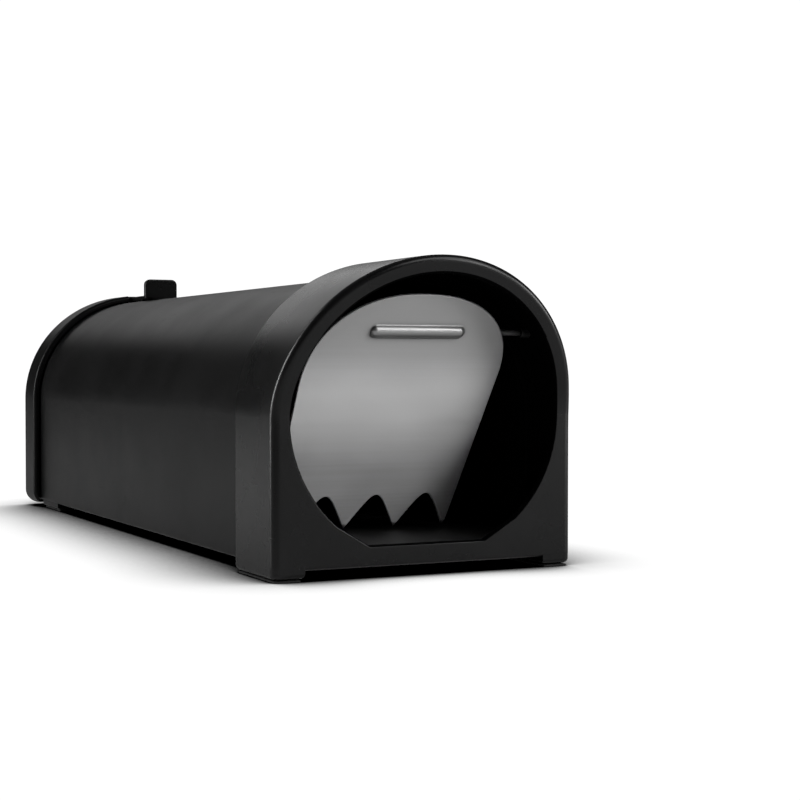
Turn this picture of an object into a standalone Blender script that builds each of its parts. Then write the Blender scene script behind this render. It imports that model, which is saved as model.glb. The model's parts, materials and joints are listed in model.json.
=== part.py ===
"""Tunnel bait station: an arched tunnel with a one-way steel flap and a rear service door.

Metres, +Z up. The station stands on its four feet on z = 0, it lies along Y with its
entrance facing -Y, and its origin is the middle of its footprint.
Depths named *_D are measured in +Y from the flat of the entrance face.
"""
import math

import bmesh
import bpy
from mathutils import Matrix, Vector

MM = 0.001

# Section of the tunnel: straight legs below ARCH_Z, half an ellipse above it.
ARCH_Z = 39.6 * MM
BASE_Z = 2.6 * MM
ARCH_STEPS = 44

# Entrance collar
COLLAR_HALF = 42.0 * MM
COLLAR_RISE = 40.0 * MM
COLLAR_DEPTH = 26.0 * MM
COLLAR_WALL = 2.0 * MM
COLLAR_CORNER = 1.2 * MM
LEAST_CORNER = 0.4 * MM
BASE_SHARE = 0.4
FRONT_ROUND = 2.1 * MM
REAR_ROUND = 1.5 * MM
SOCKET_D = 13.0 * MM
HOOD_START_Z = 42.25 * MM
HOOD_BLEND = 5.0 * MM
HOOD_SLOPE = math.tan(math.radians(17.0))
LIP = 0.5 * MM
ENTRANCE_HALF = 37.25 * MM
ENTRANCE_RISE = 35.4 * MM
SILL_HALF = 16.2 * MM
SILL_Z = 8.0 * MM
SILL_ARC_START = math.radians(-48.0)

# Whole length, from the crown of the hood to the back of the door
DOOR_BACK_D = 252.0 * MM
FACE_TOP_Z = ARCH_Z + COLLAR_RISE - FRONT_ROUND
ROUND_REACH = FRONT_ROUND * (math.hypot(1.0, HOOD_SLOPE) - 1.0)
HOOD_REACH = (FACE_TOP_Z - HOOD_START_Z) * HOOD_SLOPE + ROUND_REACH
FACE_Y = -(DOOR_BACK_D - HOOD_REACH) / 2

# Tunnel shell
SHELL_HALF = 38.4 * MM
SHELL_RISE = 36.5 * MM
SHELL_WALL = 2.2 * MM
SHELL_FRONT_D = 13.4 * MM
SHELL_BACK_D = 248.0 * MM
SHELL_TOP_Z = ARCH_Z + SHELL_RISE
LEG_INSIDE = SHELL_HALF - SHELL_WALL
POST_RADIUS = 3.6 * MM
POST_TOP_Z = 20.0 * MM
POST_CAP = 4.0 * MM
FOOT_LEDGE_Z = 5.4 * MM
HEEL_ROOM_Z = 11.0 * MM
CLEAR_D = 260.0 * MM
CLEAR_Z = 90.0 * MM
MARGIN = 5.0 * MM

# Floor tray
TRAY_HALF = 35.8 * MM
TRAY_THICK = 2.0 * MM
TRAY_FRONT_D = 2.4 * MM
TRAY_BACK_D = 243.4 * MM
RIB_HEIGHT = 0.7 * MM
RIB_WIDTH = 1.6 * MM
RIB_PITCH = 12.0 * MM
RIB_FIRST_D = 66.0 * MM
RIB_COUNT = 12
RIB_SLOPE = 0.4 * MM

# Feet: each a moulded block with a thin rubber pad under it
PAD_HEIGHT = 0.5 * MM
PAD_INSET = 0.9 * MM
PAD_ROUND = 0.2 * MM
FOOT_ROUND = 0.8 * MM
FOOT_SINK = 0.03 * MM
FRONT_FOOT_TOP_Z = 4.4 * MM
FRONT_FOOT_SPAN = (0.0 * MM, COLLAR_DEPTH)
FRONT_FOOT_REACH = (33.4 * MM, COLLAR_HALF)
REAR_FOOT_SPAN = (215.0 * MM, 237.0 * MM)
REAR_FOOT_REACH = (31.0 * MM, 38.0 * MM)

# Fasteners
TRAY_SCREW_X = 33.0 * MM
TRAY_SCREW_DEPTHS = (80.0 * MM, 205.0 * MM)
TRAY_BOSS_RADIUS = 2.8 * MM
TRAY_BOSS_LOW_Z = 4.6 * MM
TRAY_BORE_TOP_Z = 12.0 * MM
TRAY_SCREW_HEAD_Z = 4.4 * MM
TRAY_SCREW_LENGTH = 11.0 * MM
COLLAR_SCREW_X = 24.0 * MM
COLLAR_SCREW_D = 19.0 * MM
COLLAR_BOSS_RADIUS = 3.2 * MM
COLLAR_BORE_TOP_Z = 7.5 * MM
COLLAR_SCREW_HEAD_Z = BASE_Z - 0.2 * MM
COLLAR_SCREW_LENGTH = 4.8 * MM
SCREW_RADIUS = 1.25 * MM
SCREW_HEAD = 2.6 * MM
SCREW_HEAD_HEIGHT = 1.5 * MM
FIT = 0.3 * MM

# Flap, measured in its own plane from the axle; it reaches further to its left
AXLE_D = 7.9 * MM
AXLE_Z = 61.0 * MM
AXLE_RADIUS = 0.8 * MM
AXLE_HALF = 33.3 * MM
AXLE_FIT = 0.09 * MM
BUSH_RADIUS = 1.35 * MM
BUSH_SPAN = (31.0 * MM, 33.7 * MM)
BUSH_SEAT_SPAN = (29.0 * MM, 33.9 * MM)
BUSH_BORE_SPAN = (28.0 * MM, 36.0 * MM)
FLAP_TILT = math.radians(29.0)
FLAP_TOP = 11.55 * MM
FLAP_RIGHT = 26.8 * MM
FLAP_RIGHT_ARCH = 21.3 * MM
FLAP_RIGHT_TAPER = 0.087
FLAP_LEFT = 29.7 * MM
FLAP_LEFT_ARCH = 28.0 * MM
FLAP_POWER = 2 / 2.3
FLAP_STEPS = 16
EDGE_STEPS = 64
FLAP_THICK = 0.9 * MM
FLAP_OFFSET = 1.1 * MM
TOOTH_TIP = 59.0 * MM
TOOTH_DEPTH = 10.8 * MM
TOOTH_PITCH = 14.8 * MM
TOOTH_VALLEY_X = -0.44 * MM
TOOTH_BLEND = 0.31
BEAD_HALF = 13.4 * MM
BEAD_RADIUS = 1.8 * MM
BEAD_X = -0.3 * MM
BEAD_RISE = 1.1 * MM
BEAD_BACK = 0.2 * MM

# Strap that holds the axle behind the plate
STRAP_FIT = 0.12 * MM
STRAP_SHEET = 0.6 * MM
STRAP_SINK = 0.15 * MM
STRAP_REACH = 5.0 * MM
STRAP_WIDTH = 18.0 * MM
STRAP_STEPS = 10

# Rear door, hinged at its foot on a steel pin
DOOR_HALF = 41.0 * MM
DOOR_RISE = 39.0 * MM
DOOR_LOW_Z = 0.8 * MM
DOOR_CORNER = 5.0 * MM
DOOR_ROUND = 1.2 * MM
DOOR_FRONT_D = 238.0 * MM
DOOR_PANEL = 3.0 * MM
DOOR_SKIRT = 1.9 * MM
HINGE_D = 249.5 * MM
HINGE_Z = 5.2 * MM
KNUCKLE_RADIUS = 2.5 * MM
TRAY_KNUCKLE_SPAN = (6.0 * MM, 14.0 * MM)
DOOR_KNUCKLE_SPAN = (14.3 * MM, 22.3 * MM)
PIN_RADIUS = 1.0 * MM
PIN_FIT = 0.08 * MM
HINGE_PIN_HALF = 22.0 * MM
VENT_COUNT = 5
VENT_FIRST_Z = 38.0 * MM
VENT_PITCH = 5.5 * MM
VENT_REACH = 11.0 * MM
VENT_RADIUS = 1.2 * MM
VENT_POINTS = 16

# Door latch
LATCH_D = 243.0 * MM
LATCH_Z = 75.2 * MM
TAB_D = 213.0 * MM
TAB_HALF = 6.0 * MM
TAB_TOP_Z = 83.6 * MM
CATCH_D = 226.0 * MM
CATCH_DEPTH = 1.1 * MM
CATCH_WIDTH = 7.0 * MM
LATCH_PIN_HALF = 6.8 * MM
LEVER_WIDTH = 6.4 * MM
LEVER_THICK = 1.5 * MM
LEVER_GAP = 0.45 * MM
TAB_THICK = 2.4 * MM
TAB_CORNER = 2.0 * MM
EYE_RADIUS = 2.1 * MM
HOUSING_HALF = 7.0 * MM
HOUSING_LOW_Z = 71.5 * MM
SLOT_HALF = 4.7 * MM
SLOT_LOW_Z = 72.6 * MM
SPRING_RADIUS = 1.5 * MM
SPRING_WIRE = 0.22 * MM
SPRING_START_X = 1.15 * MM
SPRING_PITCH = 0.62 * MM
SPRING_TURNS = 4.5
SPRING_TURN_POINTS = 12

# Bait cup on the door's rail
CUP_FRONT_D = 203.0 * MM
CUP_BACK_D = 243.0 * MM
CUP_HALF = 23.0 * MM
CUP_LOW_Z = 10.0 * MM
CUP_HEIGHT = 20.0 * MM
CUP_WALL = 1.6 * MM
CUP_ROUND = 1.2 * MM
CUP_HOLLOW_ROUND = 0.8 * MM
CHANNEL_HALF = 8.6 * MM
CHANNEL_BACK_D = 248.6 * MM
RAIL_FIT = 0.4 * MM
ROD_D = 222.0 * MM
ROD_Z = 24.0 * MM
ROD_HALF = 24.0 * MM
ROD_RADIUS = 1.3 * MM
RAIL_LOW_Z = 13.0 * MM
RAIL_TOP_Z = 24.0 * MM
RAIL_HEAD_HALF = 6.0 * MM
RAIL_HEAD_SPAN = (245.0 * MM, 247.0 * MM)
RAIL_NECK_HALF = 3.0 * MM
RAIL_NECK_D = 246.6 * MM

X_AXIS = Vector((1.0, 0.0, 0.0))
Y_AXIS = Vector((0.0, 1.0, 0.0))
Z_AXIS = Vector((0.0, 0.0, 1.0))


# ---------------------------------------------------------------- scene helpers

def clear_scene():
    """Remove every object, so the station stands alone."""
    for item in list(bpy.data.objects):
        bpy.data.objects.remove(item, do_unlink=True)


def new_collection(name):
    collection = bpy.data.collections.new(name)
    bpy.context.scene.collection.children.link(collection)
    return collection


def add_object(name, data, collection):
    item = bpy.data.objects.new(name, data)
    collection.objects.link(item)
    return item


def finish_mesh(name, mesh_builder, collection):
    """Write a bmesh into a new object with its faces pointing out."""
    bmesh.ops.recalc_face_normals(mesh_builder, faces=mesh_builder.faces)
    mesh = bpy.data.meshes.new(name)
    mesh_builder.to_mesh(mesh)
    mesh_builder.free()
    return add_object(name, mesh, collection)


def material(name, colour, roughness, metallic=0.0):
    finish = bpy.data.materials.new(name)
    finish.use_nodes = True
    shader = finish.node_tree.nodes["Principled BSDF"]
    shader.inputs["Base Color"].default_value = (*colour, 1.0)
    shader.inputs["Roughness"].default_value = roughness
    shader.inputs["Metallic"].default_value = metallic
    return finish


def dress(item, finish):
    """Give a sub-part its material and smooth its round faces."""
    item.data.materials.append(finish)
    item.data.shade_smooth()
    item.data.set_sharp_from_angle(angle=math.radians(32.0))
    return item


def frame_matrix(u_axis, v_axis, origin):
    """Matrix from outline axes u and v, and their normal, to the world."""
    w_axis = u_axis.cross(v_axis)
    matrix = Matrix((u_axis, v_axis, w_axis)).transposed().to_4x4()
    matrix.translation = origin
    return matrix


def extrude_outline(name, outline, thickness, matrix, collection):
    """Flat closed outline, extruded evenly to both sides of its plane."""
    curve = bpy.data.curves.new(name, "CURVE")
    curve.dimensions = "2D"
    curve.fill_mode = "BOTH"
    curve.extrude = thickness / 2
    spline = curve.splines.new("POLY")
    spline.points.add(len(outline) - 1)
    for point, (u, v) in zip(spline.points, outline):
        point.co = (u, v, 0.0, 1.0)
    spline.use_cyclic_u = True
    source = add_object(name + "_outline", curve, collection)
    mesh = mesh_from_curve(source)
    mesh.name = name
    mesh.transform(matrix)
    return add_object(name, mesh, collection)


def mesh_from_curve(source):
    """Mesh of a curve with its caps welded; the curve object is removed."""
    bpy.context.view_layer.update()
    depsgraph = bpy.context.evaluated_depsgraph_get()
    mesh = bpy.data.meshes.new_from_object(source.evaluated_get(depsgraph))
    mesh.transform(source.matrix_world)
    bpy.data.objects.remove(source, do_unlink=True)
    builder = bmesh.new()
    builder.from_mesh(mesh)
    bmesh.ops.remove_doubles(builder, verts=builder.verts, dist=1e-7)
    bmesh.ops.recalc_face_normals(builder, faces=builder.faces)
    builder.to_mesh(mesh)
    builder.free()
    return mesh


def box(name, low, high, collection):
    builder = bmesh.new()
    bmesh.ops.create_cube(builder, size=1.0)
    size = Vector(high) - Vector(low)
    middle = (Vector(high) + Vector(low)) / 2
    bmesh.ops.scale(builder, vec=size, verts=builder.verts)
    bmesh.ops.translate(builder, vec=middle, verts=builder.verts)
    return finish_mesh(name, builder, collection)


def cylinder(name, start, end, radius, collection, segments=24):
    builder = bmesh.new()
    span = Vector(end) - Vector(start)
    bmesh.ops.create_cone(builder, cap_ends=True, segments=segments, radius1=radius,
                          radius2=radius, depth=span.length)
    turn = span.to_track_quat("Z", "Y").to_matrix()
    bmesh.ops.rotate(builder, matrix=turn, verts=builder.verts)
    bmesh.ops.translate(builder, vec=(Vector(start) + Vector(end)) / 2, verts=builder.verts)
    return finish_mesh(name, builder, collection)


def as_tool(item):
    item.hide_render = True
    item.display_type = "WIRE"
    return item


def combine(item, operation, tools):
    """Cut tools out of an item, or join them to it."""
    for tool in tools:
        step = item.modifiers.new(tool.name, "BOOLEAN")
        step.operation = operation
        step.object = as_tool(tool)
        step.solver = "EXACT"


def cut(item, *tools):
    combine(item, "DIFFERENCE", tools)


def join(item, *tools):
    combine(item, "UNION", tools)


def round_edges(item, width, segments=2, angle=50.0):
    bevel = item.modifiers.new("rounding", "BEVEL")
    bevel.width = width
    bevel.segments = segments
    bevel.limit_method = "ANGLE"
    bevel.angle_limit = math.radians(angle)


def loft(name, loops, collection, capped=False):
    """Skin over matched closed loops: a ring, or a solid with its two ends capped."""
    builder = bmesh.new()
    rings = [[builder.verts.new(point) for point in loop] for loop in loops]
    if capped:
        builder.faces.new(rings[0])
        builder.faces.new(rings[-1])
        pairs = zip(rings, rings[1:])
    else:
        pairs = zip(rings, rings[1:] + rings[:1])
    for ring, following in pairs:
        count = len(ring)
        for index in range(count):
            after = (index + 1) % count
            builder.faces.new((ring[index], ring[after], following[after], following[index]))
    return finish_mesh(name, builder, collection)


def turned(name, profile, base, collection, steps=20):
    """Turned solid about Z; the profile is (radius, height), top to bottom."""
    mesh = bpy.data.meshes.new(name)
    points = [(radius, 0.0, height) for radius, height in profile]
    edges = [(index, index + 1) for index in range(len(points) - 1)]
    mesh.from_pydata(points, edges, [])
    item = add_object(name, mesh, collection)
    item.location = base
    screw = item.modifiers.new("turn", "SCREW")
    screw.steps = steps
    screw.render_steps = steps
    screw.use_merge_vertices = True
    screw.merge_threshold = 1e-6
    return item


def at(depth, x=0.0, z=0.0):
    """World point at a depth behind the entrance face."""
    return Vector((x, FACE_Y + depth, z))


# ---------------------------------------------------------------- outlines

def arch_points(half, rise, first=0.0, last=math.pi, steps=ARCH_STEPS):
    for index in range(steps + 1):
        angle = first + (last - first) * index / steps
        yield half * math.cos(angle), ARCH_Z + rise * math.sin(angle)


def straight(start, end, steps):
    """Points from start towards end, end left out."""
    for index in range(steps):
        part = index / steps
        yield tuple(a + (b - a) * part for a, b in zip(start, end))


def tunnel_outline(half, rise, low, corner):
    """Closed D shape: base, right corner and leg, arch, left leg and corner."""
    right = []
    for index in range(5):
        angle = -math.pi / 2 * (1 - index / 5)
        right.append((half - corner + corner * math.cos(angle),
                      low + corner + corner * math.sin(angle)))
    right += list(straight((half, low + corner), (half, ARCH_Z), 5))
    return with_arch(right, half, rise, low)


def entrance_outline(grow=0.0):
    """Round entrance with a flat sill and a slanted corner at each end of it."""
    half = ENTRANCE_HALF + grow
    rise = ENTRANCE_RISE + grow
    low = SILL_Z - grow
    slant_end = (half * math.cos(SILL_ARC_START), ARCH_Z + rise * math.sin(SILL_ARC_START))
    right = list(straight((SILL_HALF, low), slant_end, 5))
    for index in range(5):
        angle = SILL_ARC_START * (1 - index / 5)
        right.append((half * math.cos(angle), ARCH_Z + rise * math.sin(angle)))
    return with_arch(right, half, rise, low)


def with_arch(right, half, rise, low):
    """Right-hand flank, arch, mirrored flank and the middle of the base."""
    left = [(-x, z) for x, z in reversed(right)]
    base = list(straight((left[-1][0], low), (right[0][0], low), 8))[1:]
    return right + list(arch_points(half, rise)) + left + base


def hood_lean(z):
    """Forward lean of the collar's face at a height, eased in above the legs."""
    above = z - HOOD_START_Z
    if above <= -HOOD_BLEND:
        return 0.0
    if above >= HOOD_BLEND:
        return above * HOOD_SLOPE
    return (above + HOOD_BLEND) ** 2 / (4 * HOOD_BLEND) * HOOD_SLOPE


def upright_loop(outline, depth):
    return [at(depth, x, z) for x, z in outline]


def leaning_loop(outline, depth):
    return [at(depth - hood_lean(z), x, z) for x, z in outline]


def collar_outline(inset, low=None):
    base = BASE_Z + BASE_SHARE * inset if low is None else low
    return tunnel_outline(COLLAR_HALF - inset, COLLAR_RISE - inset, base,
                          max(COLLAR_CORNER - inset, LEAST_CORNER))


# ---------------------------------------------------------------- fixed body

def make_collar(parts, tools, finish):
    """Moulded entrance collar: leaning hood, face ring, sill and socket for the shell."""
    loops = []
    for index in range(4):
        angle = math.pi / 2 * index / 3
        inset = REAR_ROUND * (1 - math.sin(angle))
        loops.append(upright_loop(collar_outline(inset),
                                  COLLAR_DEPTH - REAR_ROUND * (1 - math.cos(angle))))
    for index in range(5):
        angle = math.pi / 2 * index / 4
        inset = FRONT_ROUND * (1 - math.cos(angle))
        loops.append(leaning_loop(collar_outline(inset), FRONT_ROUND * (1 - math.sin(angle))))
    loops.append(leaning_loop(entrance_outline(LIP), 0.0))
    loops.append(leaning_loop(entrance_outline(), LIP))
    loops.append(leaning_loop(entrance_outline(), COLLAR_WALL))
    floor = BASE_Z + COLLAR_WALL
    loops.append(leaning_loop(collar_outline(COLLAR_WALL, floor), COLLAR_WALL))
    loops.append(upright_loop(collar_outline(COLLAR_WALL, floor), SOCKET_D - 0.2 * MM))
    socket = COLLAR_HALF - SHELL_HALF - FIT
    loops.append(upright_loop(collar_outline(socket, floor), SOCKET_D))
    loops.append(upright_loop(collar_outline(socket, floor), COLLAR_DEPTH))
    collar = loft("entrance_collar", loops, parts)
    for side, label in ((-1, "left"), (1, "right")):
        bush_seat = axle_rod("bush_seat_" + label, side, BUSH_SEAT_SPAN, BUSH_RADIUS + FIT, tools)
        screw_hole = cylinder("collar_hole_" + label,
                              at(COLLAR_SCREW_D, side * COLLAR_SCREW_X, 0.0),
                              at(COLLAR_SCREW_D, side * COLLAR_SCREW_X, floor + FIT),
                              SCREW_RADIUS + FIT, tools)
        join(collar, leg_foot("front_foot_" + label, side, tools))
        cut(collar, bush_seat, screw_hole)
    return dress(collar, finish)


def leg_foot(name, side, tools):
    """Foot that carries a leg of the collar down, flush with its face and its side."""
    rings = [(FOOT_ROUND * (1 - math.sin(angle)), FOOT_ROUND * (1 - math.cos(angle)))
             for angle in (math.pi / 2 * index / 4 for index in range(5))]
    loops = [[at(depth, side * x, PAD_HEIGHT + FIT + rise) for x, depth in foot_plan(inset)]
             for inset, rise in rings]
    loops.append([at(depth, side * x, FRONT_FOOT_TOP_Z) for x, depth in foot_plan(0.0)])
    return loft(name, loops, tools, capped=True)


def foot_plan(inset):
    """Plan of a front foot: its outer corners follow the collar's two roundings."""
    inset += FOOT_SINK
    outer = COLLAR_HALF - inset
    points = [(FRONT_FOOT_REACH[0] + inset, inset)]
    for radius, centre_d, first in ((FRONT_ROUND, FRONT_ROUND, -math.pi / 2),
                                    (REAR_ROUND, COLLAR_DEPTH - REAR_ROUND, 0.0)):
        round_off = radius - inset
        for index in range(5):
            angle = first + math.pi / 2 * index / 4
            points.append((outer - round_off + round_off * math.cos(angle),
                           centre_d + round_off * math.sin(angle)))
    points.append((FRONT_FOOT_REACH[0] + inset, COLLAR_DEPTH - inset))
    return points


def make_shell(parts, tools, finish):
    """Arched tunnel shell, open below and at both ends, with screw posts inside."""
    outline = [(SHELL_HALF, BASE_Z)]
    outline += list(arch_points(SHELL_HALF, SHELL_RISE))
    outline += [(-SHELL_HALF, BASE_Z), (-LEG_INSIDE, BASE_Z)]
    outline += reversed(list(arch_points(LEG_INSIDE, SHELL_RISE - SHELL_WALL)))
    outline += [(LEG_INSIDE, BASE_Z)]
    middle = (SHELL_FRONT_D + SHELL_BACK_D) / 2
    shell = extrude_outline("tunnel_shell", outline, SHELL_BACK_D - SHELL_FRONT_D,
                            frame_matrix(X_AXIS, Z_AXIS, at(middle)), parts)
    for side, label in ((-1, "left"), (1, "right")):
        for number, depth in enumerate(TRAY_SCREW_DEPTHS, 1):
            name = f"{label}_{number}"
            post = cylinder("post_" + name,
                            at(depth, side * TRAY_SCREW_X, SILL_Z + RIB_HEIGHT + FIT),
                            at(depth, side * TRAY_SCREW_X, POST_TOP_Z), POST_RADIUS, tools)
            bore = cylinder("post_bore_" + name, at(depth, side * TRAY_SCREW_X, 0.0),
                            at(depth, side * TRAY_SCREW_X, POST_TOP_Z - POST_CAP),
                            SCREW_RADIUS + FIT, tools)
            join(shell, post)
            cut(shell, bore)
        near, far = sorted((side * REAR_FOOT_REACH[0], side * (LEG_INSIDE + FIT)))
        ledge = box("foot_ledge_" + label, at(REAR_FOOT_SPAN[0], near, BASE_Z - FOOT_SINK),
                    at(REAR_FOOT_SPAN[1], far, FOOT_LEDGE_Z), tools)
        foot = foot_block("rear_foot_" + label, side, REAR_FOOT_SPAN, REAR_FOOT_REACH, tools)
        join(shell, ledge, foot)
    wide = SHELL_HALF + MARGIN
    socket_step = box("shell_socket_step", at(0.0, -wide, 0.0),
                      at(COLLAR_DEPTH + FIT, wide, BASE_Z + COLLAR_WALL + FIT), tools)
    heel_room = box("shell_heel_room", at(TRAY_BACK_D, -wide, 0.0),
                    at(CLEAR_D, wide, HEEL_ROOM_Z), tools)
    beside = HOUSING_HALF + 2 * FIT
    housing_room = box("shell_housing_room", at(DOOR_FRONT_D - FIT, -beside, AXLE_Z),
                       at(CLEAR_D, beside, CLEAR_Z), tools)
    cut(shell, socket_step, heel_room, housing_room, catch_pocket(tools))
    return dress(shell, finish)


def catch_pocket(tools):
    """Shallow pocket in the crown, with a ramp that the latch tooth rides up."""
    deep = SHELL_TOP_Z - CATCH_DEPTH
    outline = [(CATCH_D - 0.4 * MM, SHELL_TOP_Z + 2.0 * MM), (CATCH_D - 0.4 * MM, deep),
               (CATCH_D + 3.2 * MM, deep), (CATCH_D + 7.6 * MM, SHELL_TOP_Z + 0.1 * MM),
               (CATCH_D + 7.6 * MM, SHELL_TOP_Z + 2.0 * MM)]
    return extrude_outline("catch_pocket", outline, CATCH_WIDTH,
                           frame_matrix(Y_AXIS, Z_AXIS, at(0.0)), tools)


def make_tray(parts, tools, finish):
    """Floor tray with cross ribs, screw bosses and the door's hinge knuckles."""
    under = SILL_Z - TRAY_THICK
    outline = [(TRAY_FRONT_D, under), (TRAY_BACK_D, under), (TRAY_BACK_D, SILL_Z)]
    for number in reversed(range(RIB_COUNT)):
        start = RIB_FIRST_D + number * RIB_PITCH
        crest = SILL_Z + RIB_HEIGHT
        outline += [(start + RIB_WIDTH, SILL_Z), (start + RIB_WIDTH - RIB_SLOPE, crest),
                    (start + RIB_SLOPE, crest), (start, SILL_Z)]
    outline.append((TRAY_FRONT_D, SILL_Z))
    tray = extrude_outline("floor_tray", outline, 2 * TRAY_HALF,
                           frame_matrix(Y_AXIS, Z_AXIS, at(0.0)), parts)
    for side, label in ((-1, "left"), (1, "right")):
        for number, depth in enumerate(TRAY_SCREW_DEPTHS, 1):
            add_boss(tray, f"tray_{label}_{number}", side * TRAY_SCREW_X, depth,
                     TRAY_BOSS_LOW_Z, TRAY_BORE_TOP_Z, TRAY_BOSS_RADIUS, tools)
        add_boss(tray, "collar_" + label, side * COLLAR_SCREW_X, COLLAR_SCREW_D,
                 BASE_Z + COLLAR_WALL + FIT, COLLAR_BORE_TOP_Z, COLLAR_BOSS_RADIUS, tools)
        near, far = sorted(side * x for x in TRAY_KNUCKLE_SPAN)
        arm = box("knuckle_arm_" + label, at(TRAY_BACK_D - 3.0 * MM, near, 4.0 * MM),
                  at(HINGE_D, far, SILL_Z - 0.8 * MM), tools)
        knuckle = cylinder("tray_knuckle_" + label, at(HINGE_D, near, HINGE_Z),
                           at(HINGE_D, far, HINGE_Z), KNUCKLE_RADIUS, tools)
        join(tray, arm, knuckle)
    cut(tray, hinge_bore("tray_hinge_bore", tools))
    return dress(tray, finish)


def add_boss(tray, name, x, depth, low, bore_top, radius, tools):
    boss = cylinder("boss_" + name, at(depth, x, low),
                    at(depth, x, SILL_Z - TRAY_THICK / 2), radius, tools)
    bore = cylinder("bore_" + name, at(depth, x, 0.0), at(depth, x, bore_top),
                    SCREW_RADIUS + FIT, tools)
    join(tray, boss)
    cut(tray, bore)


def hinge_bore(name, tools):
    half = DOOR_KNUCKLE_SPAN[1] + FIT
    return cylinder(name, at(HINGE_D, -half, HINGE_Z), at(HINGE_D, half, HINGE_Z),
                    PIN_RADIUS + PIN_FIT, tools)


def axle_rod(name, side, span, radius, collection):
    """Cylinder on the flap's axis, over a span of x to one side."""
    return cylinder(name, at(AXLE_D, side * span[0], AXLE_Z), at(AXLE_D, side * span[1], AXLE_Z),
                    radius, collection)


def make_bush(label, side, parts, tools, finish):
    """Sleeve that the flap's axle turns in, pressed into the collar's wall."""
    bush = axle_rod("axle_bush_" + label, side, BUSH_SPAN, BUSH_RADIUS, parts)
    cut(bush, axle_rod("bush_bore_" + label, side, BUSH_BORE_SPAN, AXLE_RADIUS + AXLE_FIT, tools))
    return dress(bush, finish)


def make_screw(name, x, depth, head_z, length, parts, tools, finish):
    """Pan-head self-tapping screw, driven upwards, with a cross recess."""
    head = SCREW_HEAD
    drop = SCREW_HEAD_HEIGHT
    profile = [(0.0, length), (0.5 * MM, length - 0.2 * MM), (SCREW_RADIUS, length - 2.0 * MM),
               (SCREW_RADIUS, 0.0), (head, 0.0), (head, -0.55 * drop), (0.8 * head, -0.9 * drop),
               (0.45 * head, -drop), (0.0, -drop)]
    screw = turned(name, profile, at(depth, x, head_z), parts)
    arm = 0.55 * head
    slot = 0.3 * MM
    low = head_z - drop - 0.5 * MM
    high = head_z - 0.45 * drop
    for label, half_x, half_y in (("a", arm, slot), ("b", slot, arm)):
        recess = box(f"{name}_recess_{label}", at(depth - half_y, x - half_x, low),
                     at(depth + half_y, x + half_x, high), tools)
        cut(screw, recess)
    return dress(screw, finish)


def foot_block(name, side, span, reach, tools):
    """Moulded foot, as a block to join to its parent: span in depth, reach in x."""
    near, far = sorted(side * x for x in reach)
    block = box(name, at(span[0], near, PAD_HEIGHT + FIT), at(span[1], far, BASE_Z + 1.0 * MM),
                tools)
    round_edges(block, FOOT_ROUND)
    return block


def make_pad(name, side, span, reach, parts, finish):
    """Rubber pad under a moulded foot, set in a little from its edges."""
    near, far = sorted((side * (reach[0] + PAD_INSET), side * (reach[1] - PAD_INSET)))
    pad = box(name, at(span[0] + PAD_INSET, near, 0.0), at(span[1] - PAD_INSET, far, PAD_HEIGHT),
              parts)
    round_edges(pad, PAD_ROUND)
    return dress(pad, finish)


# ---------------------------------------------------------------- flap

def flap_matrix(across=True):
    """Outline axes in the flap's own plane, or in its side view, at the axle."""
    up = Vector((0.0, -math.sin(FLAP_TILT), math.cos(FLAP_TILT)))
    forward = Vector((0.0, -math.cos(FLAP_TILT), -math.sin(FLAP_TILT)))
    if across:
        return frame_matrix(X_AXIS, up, at(AXLE_D, 0.0, AXLE_Z))
    return frame_matrix(up, forward, at(AXLE_D, 0.0, AXLE_Z))


def tooth_edge(x):
    """Distance of the toothed edge below the axle: rounded valleys, pointed tips."""
    half = TOOTH_PITCH / 2
    to_valley = abs((x - TOOTH_VALLEY_X + half) % TOOTH_PITCH - half)
    rise = math.hypot(to_valley / half, TOOTH_BLEND) - TOOTH_BLEND
    return TOOTH_TIP - TOOTH_DEPTH * (1 - rise / (math.hypot(1.0, TOOTH_BLEND) - TOOTH_BLEND))


def flap_outline():
    """Arch-topped plate, seen square on: x across, second value up from the axle."""
    points = []
    for index in range(2 * FLAP_STEPS + 1):
        angle = math.pi / 2 * index / FLAP_STEPS
        along = math.cos(angle)
        half, arch = (FLAP_RIGHT, FLAP_RIGHT_ARCH) if along > 0 else (FLAP_LEFT, FLAP_LEFT_ARCH)
        points.append((half * math.copysign(abs(along) ** FLAP_POWER, along),
                       FLAP_TOP - arch + arch * max(math.sin(angle), 0.0) ** FLAP_POWER))
    low = FLAP_RIGHT - FLAP_RIGHT_TAPER * (TOOTH_TIP + FLAP_TOP - FLAP_RIGHT_ARCH)
    for index in range(EDGE_STEPS + 1):
        x = -FLAP_LEFT + (FLAP_LEFT + low) * index / EDGE_STEPS
        points.append((x, -tooth_edge(x)))
    return points


def make_flap_plate(parts, tools, finish):
    """Stainless flap plate with its pressed bead and toothed lower edge."""
    matrix = flap_matrix()
    centre = FLAP_OFFSET + FLAP_THICK / 2
    shift = Matrix.Translation((0.0, 0.0, centre))
    plate = extrude_outline("flap_plate", flap_outline(), FLAP_THICK, matrix @ shift, parts)
    builder = bmesh.new()
    bmesh.ops.create_uvsphere(builder, u_segments=24, v_segments=12, radius=BEAD_RADIUS)
    bmesh.ops.rotate(builder, matrix=Matrix.Rotation(math.pi / 2, 3, "Y"), verts=builder.verts)
    stretch = BEAD_HALF - BEAD_RADIUS
    middle = BEAD_RADIUS / 100
    for vert in builder.verts:
        if abs(vert.co.x) > middle:
            vert.co.x += math.copysign(stretch, vert.co.x)
        vert.co.x += BEAD_X
        vert.co.y += BEAD_RISE
        vert.co.z = max(vert.co.z, -BEAD_BACK) + centre
    bead = finish_mesh("flap_bead", builder, tools)
    bead.data.transform(matrix)
    join(plate, bead)
    return dress(plate, finish)


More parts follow.
